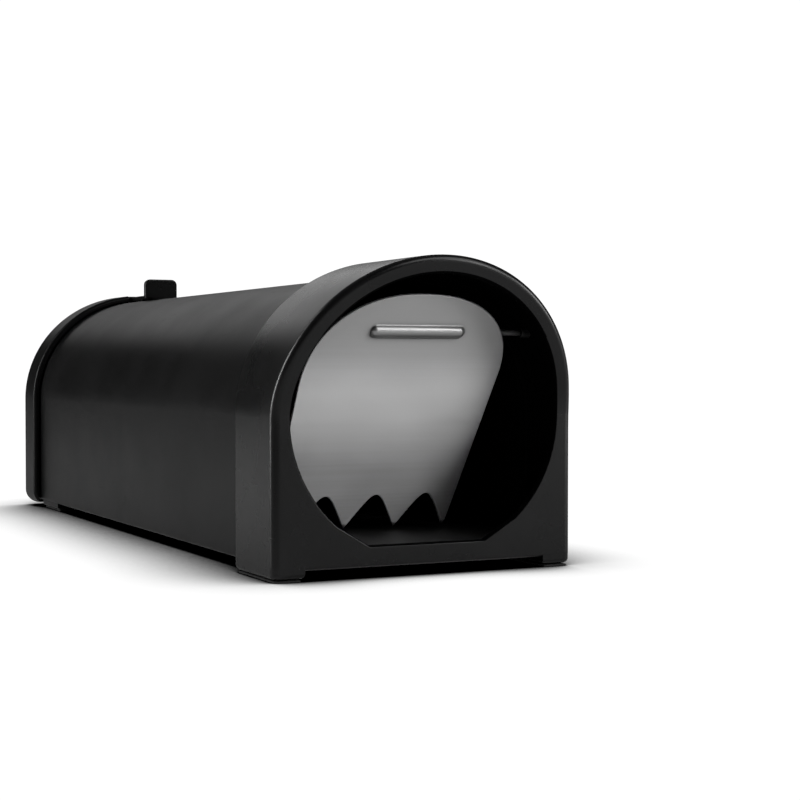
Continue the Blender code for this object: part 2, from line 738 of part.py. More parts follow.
def make_saddle(parts, finish):
    """Hat-section strap welded behind the plate, holding the axle to it."""
    inner = AXLE_RADIUS + STRAP_FIT
    sheet = STRAP_SHEET
    front = FLAP_OFFSET - STRAP_SINK
    reach = STRAP_REACH
    outer_arc = []
    inner_arc = []
    for index in range(STRAP_STEPS + 1):
        angle = math.pi * index / STRAP_STEPS
        outer_arc.append((-(inner + sheet) * math.cos(angle), -(inner + sheet) * math.sin(angle)))
        inner_arc.append((inner * math.cos(angle), -inner * math.sin(angle)))
    outline = [(-reach, front), (-reach, front - sheet), (-inner - sheet, front - sheet)]
    outline += outer_arc
    outline += [(inner + sheet, front - sheet), (reach, front - sheet), (reach, front),
                (inner, front)]
    outline += inner_arc
    outline.append((-inner, front))
    strap = extrude_outline("axle_saddle", outline, STRAP_WIDTH, flap_matrix(across=False),
                            parts)
    return dress(strap, finish)


def make_axle(parts, finish):
    axle = cylinder("flap_axle", at(AXLE_D, -AXLE_HALF, AXLE_Z), at(AXLE_D, AXLE_HALF, AXLE_Z),
                    AXLE_RADIUS, parts)
    return dress(axle, finish)


# ---------------------------------------------------------------- rear door

def make_door(parts, tools, finish):
    """Cap-shaped rear door: skirt over the shell, panel, latch housing and cup rail."""
    rounding = []
    for index in range(4):
        angle = math.pi / 2 * index / 3
        inset = DOOR_ROUND * (1 - math.sin(angle))
        outline = tunnel_outline(DOOR_HALF - inset, DOOR_RISE - inset, DOOR_LOW_Z + inset,
                                 DOOR_CORNER - inset)
        rounding.append((outline, DOOR_ROUND * (1 - math.cos(angle))))
    loops = [upright_loop(outline, DOOR_FRONT_D + back) for outline, back in rounding]
    loops += [upright_loop(outline, DOOR_BACK_D - back) for outline, back in rounding[::-1]]
    door = loft("rear_door", loops, parts, capped=True)
    panel_d = DOOR_BACK_D - DOOR_PANEL
    inside = [(DOOR_HALF - DOOR_SKIRT, -MARGIN)]
    inside += list(arch_points(DOOR_HALF - DOOR_SKIRT, DOOR_RISE - DOOR_SKIRT))
    inside.append((-DOOR_HALF + DOOR_SKIRT, -MARGIN))
    start = DOOR_FRONT_D - MARGIN
    hollow = extrude_outline("door_hollow", inside, panel_d - start,
                             frame_matrix(X_AXIS, Z_AXIS, at((panel_d + start) / 2)), tools)
    cut(door, hollow)
    add_latch_housing(door, panel_d, tools)
    add_cup_rail(door, panel_d, tools)
    add_door_knuckles(door, tools)
    add_vents(door, panel_d, tools)
    return dress(door, finish)


def add_latch_housing(door, panel_d, tools):
    """Block under the crown of the door with a slot for the latch lever."""
    housing = box("latch_housing", at(DOOR_FRONT_D + 0.8 * MM, -HOUSING_HALF, HOUSING_LOW_Z),
                  at(panel_d + 0.5 * MM, HOUSING_HALF, ARCH_Z + DOOR_RISE - DOOR_ROUND), tools)
    slot = box("latch_slot", at(DOOR_FRONT_D - MARGIN, -SLOT_HALF, SLOT_LOW_Z),
               at(panel_d - 1.5 * MM, SLOT_HALF, CLEAR_Z), tools)
    bore = latch_rod("latch_bore", PIN_RADIUS + 2 * PIN_FIT, HOUSING_HALF + MARGIN, tools)
    join(door, housing)
    cut(door, slot, bore)


def latch_rod(name, radius, half, collection):
    """Cylinder on the latch's axis."""
    return cylinder(name, at(LATCH_D, -half, LATCH_Z), at(LATCH_D, half, LATCH_Z), radius,
                    collection)


def add_cup_rail(door, panel_d, tools):
    """T-section rail that the bait cup slides down onto."""
    neck = box("rail_neck", at(RAIL_NECK_D, -RAIL_NECK_HALF, RAIL_LOW_Z),
               at(panel_d + 0.5 * MM, RAIL_NECK_HALF, RAIL_TOP_Z), tools)
    head = box("rail_head", at(RAIL_HEAD_SPAN[0], -RAIL_HEAD_HALF, RAIL_LOW_Z),
               at(RAIL_HEAD_SPAN[1], RAIL_HEAD_HALF, RAIL_TOP_Z), tools)
    join(door, neck, head)


def add_door_knuckles(door, tools):
    """Room for the tray's knuckles, the door's own knuckles, and the pin's bore."""
    half = DOOR_KNUCKLE_SPAN[0]
    room = box("knuckle_room", at(HINGE_D - 8.0 * MM, -half, -MARGIN),
               at(CLEAR_D, half, HINGE_Z + KNUCKLE_RADIUS + 2 * FIT), tools)
    cut(door, room)
    for side, label in ((-1, "left"), (1, "right")):
        near, far = (side * x for x in DOOR_KNUCKLE_SPAN)
        knuckle = cylinder("door_knuckle_" + label, at(HINGE_D, near, HINGE_Z),
                           at(HINGE_D, far, HINGE_Z), KNUCKLE_RADIUS - 0.05 * MM, tools)
        join(door, knuckle)
    cut(door, hinge_bore("door_hinge_bore", tools))


def add_vents(door, panel_d, tools):
    """Five level air slots with round ends through the panel."""
    for number in range(VENT_COUNT):
        height = VENT_FIRST_Z + number * VENT_PITCH
        outline = []
        for index in range(VENT_POINTS):
            angle = 2 * math.pi * (index + 0.5) / VENT_POINTS
            centre = math.copysign(VENT_REACH, math.cos(angle))
            outline.append((centre + VENT_RADIUS * math.cos(angle),
                            height + VENT_RADIUS * math.sin(angle)))
        vent = extrude_outline(f"vent_{number}", outline, 3 * DOOR_PANEL,
                               frame_matrix(X_AXIS, Z_AXIS, at(panel_d)), tools)
        cut(door, vent)


def make_pin(name, depth, z, half, parts, finish):
    pin = cylinder(name, at(depth, -half, z), at(depth, half, z), PIN_RADIUS, parts)
    return dress(pin, finish)


def make_latch(parts, tools, finish):
    """Latch lever: eye on its pin, tongue over the crown, catch tooth and thumb tab."""
    low = SHELL_TOP_Z + LEVER_GAP
    high = low + LEVER_THICK
    back = LATCH_D - 0.6 * MM
    outline = [(TAB_D, low), (CATCH_D, low), (CATCH_D + 0.5 * MM, SHELL_TOP_Z - 0.7 * MM),
               (CATCH_D + 2.2 * MM, SHELL_TOP_Z - 0.7 * MM), (CATCH_D + 3.0 * MM, low),
               (LATCH_D - 3.0 * MM, low), (back, LATCH_Z), (LATCH_D + 1.0 * MM, LATCH_Z),
               (LATCH_D + 1.0 * MM, high), (TAB_D, high)]
    side_view = frame_matrix(Y_AXIS, Z_AXIS, at(0.0))
    lever = extrude_outline("latch_lever", outline, LEVER_WIDTH, side_view, parts)
    tab = extrude_outline("thumb_tab", tab_outline(low), TAB_THICK,
                          frame_matrix(X_AXIS, Z_AXIS, at(TAB_D + TAB_THICK / 2)), tools)
    eye = latch_rod("latch_eye", EYE_RADIUS, LEVER_WIDTH / 2, tools)
    spring_room = box("spring_room", at(LATCH_D - 3.4 * MM, 0.6 * MM, 70.0 * MM),
                      at(LATCH_D + 4.0 * MM, 9.0 * MM, 90.0 * MM), tools)
    bore = latch_rod("latch_eye_bore", PIN_RADIUS + PIN_FIT, LEVER_WIDTH, tools)
    join(lever, tab, eye)
    cut(lever, spring_room, bore)
    return dress(lever, finish)


def tab_outline(low):
    """Thumb tab seen from the front: a small plate with rounded corners."""
    corner = TAB_CORNER
    points = [(-TAB_HALF, low + 0.3 * MM), (-TAB_HALF + 0.3 * MM, low),
              (TAB_HALF - 0.3 * MM, low), (TAB_HALF, low + 0.3 * MM)]
    for side, first in ((1, 0.0), (-1, math.pi / 2)):
        for index in range(6):
            angle = first + math.pi / 2 * index / 5
            points.append((side * (TAB_HALF - corner) + corner * math.cos(angle),
                           TAB_TOP_Z - corner + corner * math.sin(angle)))
    return points


def make_latch_spring(parts, finish):
    """Torsion spring round the latch pin, one leg on the housing and one on the lever."""
    points = []
    for index in range(int(SPRING_TURN_POINTS * SPRING_TURNS) + 1):
        turn = index / SPRING_TURN_POINTS
        angle = 2 * math.pi * turn - math.pi / 2
        points.append(at(LATCH_D - SPRING_RADIUS * math.cos(angle),
                         SPRING_START_X + SPRING_PITCH * turn,
                         LATCH_Z + SPRING_RADIUS * math.sin(angle)))
    curve = bpy.data.curves.new("latch_spring", "CURVE")
    curve.dimensions = "3D"
    curve.bevel_depth = SPRING_WIRE
    curve.bevel_resolution = 1
    curve.use_fill_caps = True
    spline = curve.splines.new("POLY")
    spline.points.add(len(points) - 1)
    for point, place in zip(spline.points, points):
        point.co = (*place, 1.0)
    source = add_object("latch_spring_wire", curve, parts)
    mesh = mesh_from_curve(source)
    spring = add_object("latch_spring", mesh, parts)
    return dress(spring, finish)


# ---------------------------------------------------------------- bait cup

def make_cup(parts, tools, finish):
    """Open cup with a closed-top channel at its back that hooks over the door's rail."""
    high = CUP_LOW_Z + CUP_HEIGHT
    cup = box("bait_cup", at(CUP_FRONT_D, -CUP_HALF, CUP_LOW_Z), at(CUP_BACK_D, CUP_HALF, high),
              parts)
    round_edges(cup, CUP_ROUND)
    hollow = box("cup_hollow",
                 at(CUP_FRONT_D + CUP_WALL, -CUP_HALF + CUP_WALL, CUP_LOW_Z + CUP_WALL),
                 at(CUP_BACK_D - CUP_WALL, CUP_HALF - CUP_WALL, high + MARGIN), tools)
    round_edges(hollow, CUP_HOLLOW_ROUND)
    cut(cup, hollow)
    channel = box("cup_channel", at(CUP_BACK_D - 0.4 * MM, -CHANNEL_HALF, CUP_LOW_Z + 1.0 * MM),
                  at(CHANNEL_BACK_D, CHANNEL_HALF, high - 0.5 * MM), tools)
    top = RAIL_TOP_Z + RAIL_FIT
    head_half = RAIL_HEAD_HALF + RAIL_FIT
    neck_half = RAIL_NECK_HALF + RAIL_FIT
    head_room = box("rail_head_room", at(RAIL_HEAD_SPAN[0] - RAIL_FIT, -head_half, 0.0),
                    at(RAIL_HEAD_SPAN[1] + RAIL_FIT, head_half, top), tools)
    neck_room = box("rail_neck_room", at(RAIL_NECK_D - 2 * RAIL_FIT, -neck_half, 0.0),
                    at(CHANNEL_BACK_D + RAIL_FIT, neck_half, top), tools)
    join(cup, channel)
    cut(cup, head_room, neck_room)
    cut(cup, bait_rod("cup_rod_hole", CUP_HALF + MARGIN, ROD_RADIUS + FIT, tools))
    return dress(cup, finish)


def bait_rod(name, half, radius, collection):
    """Steel rod across the cup that bait blocks are threaded on, or the hole for it."""
    return cylinder(name, at(ROD_D, -half, ROD_Z), at(ROD_D, half, ROD_Z), radius, collection)


# ---------------------------------------------------------------- assembly

def hang_on_axis(name, place, members, collection, parent=None):
    """Parent moving pieces to an empty on their joint's axis."""
    axis = add_object(name, None, collection)
    axis.empty_display_size = 0.01
    axis.location = place
    bpy.context.view_layer.update()
    if parent is not None:
        axis.parent = parent
        axis.matrix_parent_inverse = parent.matrix_world.inverted()
    bpy.context.view_layer.update()
    for member in members:
        member.parent = axis
        member.matrix_parent_inverse = axis.matrix_world.inverted()
    return axis


def build_station():
    clear_scene()
    parts = new_collection("bait_station")
    tools = new_collection("cutters")
    black = material("black_plastic", (0.012, 0.012, 0.013), 0.42)
    tray_black = material("tray_plastic", (0.010, 0.010, 0.011), 0.55)
    steel = material("brushed_stainless", (0.55, 0.55, 0.56), 0.32, 1.0)
    zinc = material("zinc_steel", (0.52, 0.52, 0.50), 0.38, 1.0)
    rubber = material("foot_rubber", (0.009, 0.009, 0.009), 0.75)
    nylon = material("bush_nylon", (0.05, 0.05, 0.05), 0.5)

    make_collar(parts, tools, black)
    make_shell(parts, tools, black)
    make_tray(parts, tools, tray_black)
    for side, label in ((-1, "left"), (1, "right")):
        make_bush(label, side, parts, tools, nylon)
        make_pad("front_pad_" + label, side, FRONT_FOOT_SPAN, FRONT_FOOT_REACH, parts, rubber)
        make_pad("rear_pad_" + label, side, REAR_FOOT_SPAN, REAR_FOOT_REACH, parts, rubber)
        make_screw("collar_screw_" + label, side * COLLAR_SCREW_X, COLLAR_SCREW_D,
                   COLLAR_SCREW_HEAD_Z, COLLAR_SCREW_LENGTH, parts, tools, zinc)
        for place, depth in zip(("front", "rear"), TRAY_SCREW_DEPTHS):
            make_screw(f"tray_screw_{place}_{label}", side * TRAY_SCREW_X, depth,
                       TRAY_SCREW_HEAD_Z, TRAY_SCREW_LENGTH, parts, tools, zinc)
    make_pin("door_hinge_pin", HINGE_D, HINGE_Z, HINGE_PIN_HALF, parts, zinc)

    flap = [make_flap_plate(parts, tools, steel), make_saddle(parts, steel),
            make_axle(parts, steel)]
    hang_on_axis("flap_axis", at(AXLE_D, 0.0, AXLE_Z), flap, parts)

    door = [make_door(parts, tools, black), make_pin("latch_pin", LATCH_D, LATCH_Z,
                                                     LATCH_PIN_HALF, parts, zinc),
            make_latch_spring(parts, zinc)]
    door_axis = hang_on_axis("door_axis", at(HINGE_D, 0.0, HINGE_Z), door, parts)
    latch = [make_latch(parts, tools, black)]
    hang_on_axis("latch_axis", at(LATCH_D, 0.0, LATCH_Z), latch, parts, door_axis)
    cup = [make_cup(parts, tools, tray_black),
           dress(bait_rod("bait_rod", ROD_HALF, ROD_RADIUS, parts), zinc)]
    hang_on_axis("cup_slide", at(CUP_BACK_D, 0.0, CUP_LOW_Z), cup, parts, door_axis)


build_station()
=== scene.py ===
"""Looks of the tunnel bait station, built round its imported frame.

Metres, +Z up, entrance facing -Y. Every piece is made where it stands at rest.
Depths named *_D are measured in +Y from the flat of the entrance face.
"""

import json
from math import atan2, copysign, cos, hypot, pi, radians, sin, sqrt, tan

import bmesh
import bpy
from mathutils import Matrix, Vector

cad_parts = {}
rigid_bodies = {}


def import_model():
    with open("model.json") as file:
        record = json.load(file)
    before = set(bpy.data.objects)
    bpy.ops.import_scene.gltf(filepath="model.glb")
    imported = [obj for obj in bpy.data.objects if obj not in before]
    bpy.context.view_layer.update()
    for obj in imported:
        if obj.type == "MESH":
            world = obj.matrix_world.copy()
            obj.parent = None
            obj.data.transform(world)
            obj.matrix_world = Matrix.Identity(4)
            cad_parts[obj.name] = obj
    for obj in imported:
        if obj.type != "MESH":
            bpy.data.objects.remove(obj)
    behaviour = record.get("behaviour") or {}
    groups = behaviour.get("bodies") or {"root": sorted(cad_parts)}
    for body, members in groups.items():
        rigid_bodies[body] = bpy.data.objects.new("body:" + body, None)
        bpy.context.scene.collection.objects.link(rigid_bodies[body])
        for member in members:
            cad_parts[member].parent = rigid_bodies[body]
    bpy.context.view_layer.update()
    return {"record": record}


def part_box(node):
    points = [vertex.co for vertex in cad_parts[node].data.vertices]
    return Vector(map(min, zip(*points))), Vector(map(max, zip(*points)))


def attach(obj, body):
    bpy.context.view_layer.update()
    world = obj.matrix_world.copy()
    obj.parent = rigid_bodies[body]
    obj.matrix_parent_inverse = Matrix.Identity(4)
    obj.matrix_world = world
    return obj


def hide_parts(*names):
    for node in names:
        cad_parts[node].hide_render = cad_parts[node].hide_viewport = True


for item in list(bpy.data.objects):
    bpy.data.objects.remove(item)
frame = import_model()

MM = 0.001
SIDES = ((-1, "left"), (1, "right"))
PLACES = ("front", "rear")
MARGIN = 5.0 * MM
BITE = 0.5 * MM
FIT = 0.3 * MM
CLEAR_D = 260.0 * MM
CLEAR_Z = 90.0 * MM

# Which finish each CAD node takes, by the record's slot
SCREWS = [f"tray_screw_{place}_{label}" for place in PLACES for _, label in SIDES]
SCREWS += ["collar_screw_" + label for _, label in SIDES]
PADS = [f"{place}_pad_{label}" for place in PLACES for _, label in SIDES]
BUSHES = ["axle_bush_" + label for _, label in SIDES]
PINS = ["door_hinge_pin", "latch_pin", "bait_rod"]
SLOT_NODES = {
    "black_plastic": ["tunnel_shell", "entrance_collar", "rear_door", "latch_lever"],
    "tray_plastic": ["floor_tray", "bait_cup"],
    "stainless_sheet": ["flap_plate", "axle_saddle", "flap_axle"],
    "zinc_steel": [*SCREWS, *PINS, "latch_spring"],
    "foot_rubber": PADS,
    "bush_nylon": BUSHES,
}
SLOT_OF = {node: slot for slot, nodes in SLOT_NODES.items() for node in nodes}
BODY_OF = {node: body for body, nodes in frame["record"]["behaviour"]["bodies"].items()
           for node in nodes}

# Driving sizes, read from the frame
COLLAR_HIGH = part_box("entrance_collar")[1]
SHELL_LOW, SHELL_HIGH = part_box("tunnel_shell")
DOOR_LOW, DOOR_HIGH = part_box("rear_door")
TRAY_LOW, TRAY_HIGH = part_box("floor_tray")
LEVER_LOW, LEVER_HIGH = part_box("latch_lever")


def middle(node):
    """Middle of a CAD node's box."""
    low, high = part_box(node)
    return (low + high) / 2


AXLE = middle("flap_axle")
HINGE = middle("door_hinge_pin")
LATCH = middle("latch_pin")

# Entrance collar
COLLAR_DEPTH = 26.0 * MM
COLLAR_RISE = 40.0 * MM
COLLAR_WALL = 2.0 * MM
COLLAR_CORNER = 1.2 * MM
LEAST_CORNER = 0.4 * MM
BASE_SHARE = 0.4
FACE_SINK = 0.02 * MM
FRONT_ROUND = 2.1 * MM
REAR_ROUND = 1.5 * MM
SOCKET_D = 13.0 * MM
HOOD_START_Z = 42.25 * MM
HOOD_BLEND = 5.0 * MM
HOOD_SLOPE = tan(radians(17.0))
ENTRANCE_HALF = 37.25 * MM
ENTRANCE_RISE = 35.4 * MM
ENTRANCE_LIP = 0.5 * MM
SILL_HALF = 16.2 * MM
SILL_Z = 8.0 * MM
SILL_ARC_START = radians(-48.0)
BASE_Z = 2.6 * MM
SOCKET_SLOPE = 0.2 * MM
MOUTH_DEPTH = 0.4 * MM
MOUTH_FLARE = 0.3 * MM
BUSH_SEAT_DEPTH = 4.7 * MM
BUSH_GAP = 0.2 * MM
FACING = 0.3

FACE_Y = COLLAR_HIGH.y - COLLAR_DEPTH
ARCH_Z = COLLAR_HIGH.z - COLLAR_RISE
COLLAR_HALF = COLLAR_HIGH.x
COLLAR_FLOOR = BASE_Z + COLLAR_WALL
ARCH_STEPS = 132

# Tunnel shell
SHELL_HALF = SHELL_HIGH.x
SHELL_RISE = SHELL_HIGH.z - ARCH_Z
SHELL_WALL = 2.2 * MM
LEG_INSIDE = SHELL_HALF - SHELL_WALL
POST_RADIUS = 3.6 * MM
POST_TOP = 20.0 * MM
POST_CAP = 4.0 * MM
EDGE_ROUND = 0.3 * MM
LEDGE_SINK = 0.1 * MM
LEDGE_TOP_Z = 5.4 * MM
HEEL_ROOM = 7.5 * MM
HEEL_ROOM_Z = 11.0 * MM
NOTCH_HALF = 7.6 * MM
NOTCH_LOW_Z = 60.0 * MM
CATCH_D = 226.0 * MM
CATCH_DEPTH = 1.1 * MM
CATCH_GAP = 0.4 * MM
CATCH_FLAT = 3.6 * MM
CATCH_REACH = 8.0 * MM
CATCH_HALF = 3.5 * MM

# Floor tray
TRAY_THICK = 2.0 * MM
RIB_HEIGHT = 0.7 * MM
RIB_WIDTH = 1.6 * MM
RIB_PITCH = 12.0 * MM
RIB_FIRST_D = 66.0 * MM
RIB_COUNT = 12
BOSS_RADIUS = 2.8 * MM
TRAY_ROUND = 0.25 * MM
TRAY_BOSS_LOW_Z = 4.6 * MM
TRAY_BORE_TOP_Z = 12.0 * MM
COLLAR_BOSS_RADIUS = 3.2 * MM
COLLAR_BORE_TOP_Z = 7.5 * MM
ARM_LENGTH = 6.1 * MM
ARM_BITE = 3.0 * MM
ARM_LOW_Z = 4.0 * MM
ARM_DROP = 0.8 * MM
KNUCKLE_RADIUS = 2.5 * MM
KNUCKLE_CHAMFER = 0.25 * MM
TRAY_KNUCKLE_SPAN = (6.0 * MM, 14.0 * MM)
DOOR_KNUCKLE_SPAN = (14.3 * MM, 22.3 * MM)
PIN_FIT = 0.08 * MM

# Feet, screws and bushes
PAD_HEIGHT = 0.5 * MM
PAD_INSET = 0.9 * MM
PAD_ROUND = 0.2 * MM
FOOT_ROUND = 0.8 * MM
FOOT_SINK = 0.03 * MM
FOOT_LOW_Z = PAD_HEIGHT + FIT
REAR_FOOT_TOP_Z = BASE_Z + MM
LEG_FOOT_ROUND = 1.3 * MM
HEEL_ROUND = 3.4 * MM
HEEL_MARGIN = 0.5 * MM
FRONT_FOOT_X = 33.4 * MM
FRONT_FOOT_TOP_Z = 4.4 * MM
SCREW_RADIUS = 1.25 * MM
THREAD_DEPTH = 0.26 * MM
THREAD_PITCH = 0.9 * MM
HEAD_RADIUS = 2.6 * MM
HEAD_HEIGHT = 1.5 * MM
HEAD_PROFILE = ((0.05, 0.0), (0.45, 0.0), (0.7, 0.05), (0.88, 0.16), (0.97, 0.32), (1.0, 0.5),
                (1.0, 0.92), (0.97, 1.0))
RECESS_SHARE = 0.55
RECESS_HALF = 0.3 * MM
THREAD_SHARPNESS = 3.2
THREAD_STEPS = 7
POINT_LENGTH = 2.0 * MM
POINT_LEAST = 0.06
GROOVE_COUNT = 3
GROOVE_HALF = 0.4 * MM
GROOVE_TOP_Z = 0.2 * MM
GROOVE_ROUND = 0.08 * MM
BUSH_BORE = 0.89 * MM
BUSH_MOUTH = 0.2 * MM

# Flap
FLAP_TILT = radians(29.0)
FLAP_TOP = 11.55 * MM
FLAP_RIGHT = 26.8 * MM
FLAP_RIGHT_ARCH = 21.3 * MM
FLAP_RIGHT_TAPER = 0.087
FLAP_LEFT = 29.7 * MM
FLAP_LEFT_ARCH = 28.0 * MM
FLAP_POWER = 2 / 2.3
FLAP_STEPS = 48
EDGE_STEPS = 96
FLAP_THICK = 0.9 * MM
FLAP_OFFSET = 1.1 * MM
FLAP_EDGE = 0.26 * MM
TOOTH_TIP = 59.0 * MM
TOOTH_DEPTH = 10.8 * MM
TOOTH_PITCH = 14.8 * MM
TOOTH_VALLEY_X = -0.44 * MM
TOOTH_BLEND = 0.31
BEAD_HALF = 13.4 * MM
BEAD_RADIUS = 1.8 * MM
BEAD_X = -0.3 * MM
BEAD_RISE = 1.1 * MM
BEAD_FILLET = 0.6 * MM
BEAD_BACK_SHARE = 0.92
BEAD_START = 0.02 * MM
RIM_FLATNESS = 0.96
SADDLE_HALF = 9.0 * MM
SADDLE_REACH = 5.0 * MM
SADDLE_SHEET = 0.6 * MM
STRAP_FIT = 0.12 * MM
STRAP_SINK = 0.15 * MM
WELD_SHARE = 0.6
WELD_PROFILE = ((0.9 * MM, 0.0), (0.5 * MM, 0.34 * MM), (0.1 * MM, 0.38 * MM))

# Painted light on the flap by height: painted shade under the hood, and a painted highlight band,
# lightest across the middle
HOOD_SHADE_HEIGHTS = (0.050, 0.062)
HOOD_PAINTED_SHADE = 0.78
HIGHLIGHT_BAND_RISE = (0.024, 0.040)
HIGHLIGHT_BAND_FALL = (0.044, 0.056)
HIGHLIGHT_BAND_GAIN = 0.9
PAINTED_HIGHLIGHT_TONE = 1.40
# Painted shade in creases: the steel's colour darkens where ambient occlusion finds other surfaces
# close by
CREASE_REACH = 2.4 * MM
CREASE_PAINTED_SHADE = 0.12
CREASE_RANGE = (0.66, 0.985)
CREASE_MOST = 0.95

# Rear door and latch
DOOR_HALF = DOOR_HIGH.x
DOOR_RISE = DOOR_HIGH.z - ARCH_Z
DOOR_CORNER = 5.0 * MM
DOOR_ROUND = 1.2 * MM
DOOR_PANEL = 3.0 * MM
DOOR_SKIRT = 1.9 * MM
KNUCKLE_ROOM = 8.0 * MM
KNUCKLE_HEADROOM = 3.1 * MM
HOUSING_HALF = 7.0 * MM
HOUSING_LOW_Z = 71.5 * MM
HOUSING_BORE = 1.15 * MM
SLOT_HALF = 4.7 * MM
SLOT_LOW_Z = 72.6 * MM
SLOT_STOP = 1.5 * MM
SLOT_ROUND = 0.4 * MM
VENT_COUNT = 5
VENT_FIRST_Z = 38.0 * MM
VENT_PITCH = 5.5 * MM
VENT_REACH = 11.0 * MM
VENT_RADIUS = 1.2 * MM
VENT_CHAMFER = 0.4 * MM
LEVER_GAP = 0.45 * MM
LEVER_THICK = 1.5 * MM
LEVER_HALF = 3.2 * MM
TOOTH_DROP = 0.7 * MM
EYE_RADIUS = 2.1 * MM
EYE_BORE = 1.08 * MM
LATCH_BORE_HALF = 9.0 * MM
TAB_HALF = 6.0 * MM
TAB_CORNER = 2.0 * MM
TAB_THICK = 2.4 * MM
SPRING_RADIUS = 1.5 * MM
SPRING_WIRE = 0.22 * MM
SPRING_START_X = 1.15 * MM
SPRING_PITCH = 0.62 * MM
SPRING_TURNS = 4.5
SPRING_TURN_POINTS = 32

# Bait cup and its rail
CUP_CLEAR = 9.0 * MM
CUP_WALL = 1.6 * MM
CUP_ROUND = 1.2 * MM
CUP_HOLLOW_ROUND = 1.0 * MM
CHANNEL_HALF = 8.6 * MM
ROD_BORE = 1.6 * MM
RAIL_LOW_Z = 13.0 * MM
RAIL_TOP_Z = 24.0 * MM
RAIL_NECK_HALF = 3.0 * MM
RAIL_NECK_REACH = 2.4 * MM
RAIL_HEAD_HALF = 6.0 * MM
RAIL_HEAD_REACH = (4.0 * MM, 2.0 * MM)
RAIL_FIT = 0.4 * MM

# Camera, floor and surround
CAMERA_AIM = Vector((51.6 * MM, 0.0, 40.9 * MM))
CAMERA_DISTANCE = 542.5 * MM
CAMERA_AZIMUTH = radians(-26.29)
CAMERA_ELEVATION = radians(1.275)
CAMERA_LENS = 74.07
DOME = 0.012
BACKDROP = 1.05
# Reach and range of the floor's painted shadow, from ambient occlusion
SHADE_REACH = 45.0 * MM
SHADE_RANGE = (0.42, 0.99)
FLOOR_HALF = 1.5

# Lights: name, place, target, width, height and watts
SOFTBOXES = (
    ("overhead", (0.15, 0.25, 1.5), (0.0, 0.0, 0.0), 1.6, 1.6, 0.8),
    ("back_top", (0.22, 1.1, 0.55), (0.0, 0.0, 0.05), 0.9, 0.3, 0.8),
    ("front", (0.45, -0.85, 0.72), (0.0, -0.1, 0.03), 0.7, 0.5, 3.3),
    ("right_high", (0.64, -0.88, 0.32), (0.0, -0.12, 0.06), 0.30, 0.30, 2.5),
    ("left_strip", (-1.0, 0.5, 0.25), (0.0, -0.1, 0.04), 0.16, 0.8, 8.5),
    ("right_low", (0.88, -0.54, 0.19), (0.0, -0.12, 0.06), 0.30, 0.30, 2.2),
    ("floor_patch", (-0.28, 0.16, 0.36), (-0.15, 0.10, 0.0), 0.12, 0.12, 0.2),
)
HOOD_LIGHTS = ("right_high", "right_low")
LONG_TOPS = ("tunnel_shell", "rear_door", "latch_lever")

X_AXIS = Vector((1.0, 0.0, 0.0))
Y_AXIS = Vector((0.0, 1.0, 0.0))
Z_AXIS = Vector((0.0, 0.0, 1.0))


def at(depth, x=0.0, z=0.0):
    """Point at a depth behind the entrance face."""
    return Vector((x, FACE_Y + depth, z))


# Mesh helpers

def new_object(name, builder):
    """Write a bmesh into a new object with its faces pointing out."""
    bmesh.ops.recalc_face_normals(builder, faces=builder.faces)
    mesh = bpy.data.meshes.new(name)
    builder.to_mesh(mesh)
    builder.free()
    made = bpy.data.objects.new(name, mesh)
    bpy.context.scene.collection.objects.link(made)
    return made


def frame_matrix(u_axis, v_axis, origin):
    """Matrix from outline axes u and v, and their normal, to the row frame."""
    matrix = Matrix((u_axis, v_axis, u_axis.cross(v_axis))).transposed().to_4x4()
    matrix.translation = origin
    return matrix


FACE_ON = frame_matrix(X_AXIS, Z_AXIS, Vector())
SIDE_ON = frame_matrix(Y_AXIS, Z_AXIS, Vector())


def add_skin(builder, loops, ends="capped"):
    """Quads over matched closed loops, whose ends are capped, joined to each other or open."""
    rings = [[builder.verts.new(point) for point in loop] for loop in loops]
    pairs = list(zip(rings, rings[1:]))
    if ends == "capped":
        builder.faces.new(rings[0])
        builder.faces.new(rings[-1])
    elif ends == "joined":
        pairs.append((rings[-1], rings[0]))
    for here, following in pairs:
        for index, corner in enumerate(here):
            after = (index + 1) % len(here)
            builder.faces.new((corner, here[after], following[after], following[index]))
    return rings[0], rings[-1]


def loft(name, loops, ends="capped"):
    builder = bmesh.new()
    add_skin(builder, loops, ends)
    return new_object(name, builder)


def inset(outline, distance):
    """Closed outline, drawn anticlockwise, moved inwards by a distance."""
    moved = []
    for index, here in enumerate(outline):
        before = Vector(outline[index - 1])
        after = Vector(outline[(index + 1) % len(outline)])
        here = Vector(here)
        first = (here - before).normalized()
        second = (after - here).normalized()
        normal = Vector((-first.y - second.y, first.x + second.x))
        normal /= max(1.0 + first.dot(second), 0.35)
        moved.append(tuple(here + normal * distance))
    return moved


def quarter(radius, steps):
    """(inset, back) pairs of a rounded edge, from the end face out to the full outline."""
    for index in range(steps + 1):
        angle = pi / 2 * index / steps
        yield radius * (1 - sin(angle)), radius * (1 - cos(angle))


def prism(name, outline, low, high, matrix, rounding=0.0, steps=3):
    """Outline extruded along its normal from low to high, with rounded end edges."""
    if rounding:
        edge = [(inset(outline, inwards), back) for inwards, back in quarter(rounding, steps)]
    else:
        edge = [(outline, 0.0)]
    levels = [(points, low + back) for points, back in edge]
    levels += [(points, high - back) for points, back in reversed(edge)]
    return loft(name, [[matrix @ Vector((u, v, w)) for u, v in points] for points, w in levels])


def rounded_box(name, low, high, radius=0.0, segments=4):
    builder = bmesh.new()
    bmesh.ops.create_cube(builder, size=1.0)
    low, high = Vector(low), Vector(high)
    low, high = Vector(map(min, low, high)), Vector(map(max, low, high))
    bmesh.ops.scale(builder, vec=high - low, verts=builder.verts)
    bmesh.ops.translate(builder, vec=(low + high) / 2, verts=builder.verts)
    if radius:
        bmesh.ops.bevel(builder, geom=builder.edges[:], offset=radius, segments=segments,
                        affect="EDGES", profile=0.5)
    return new_object(name, builder)


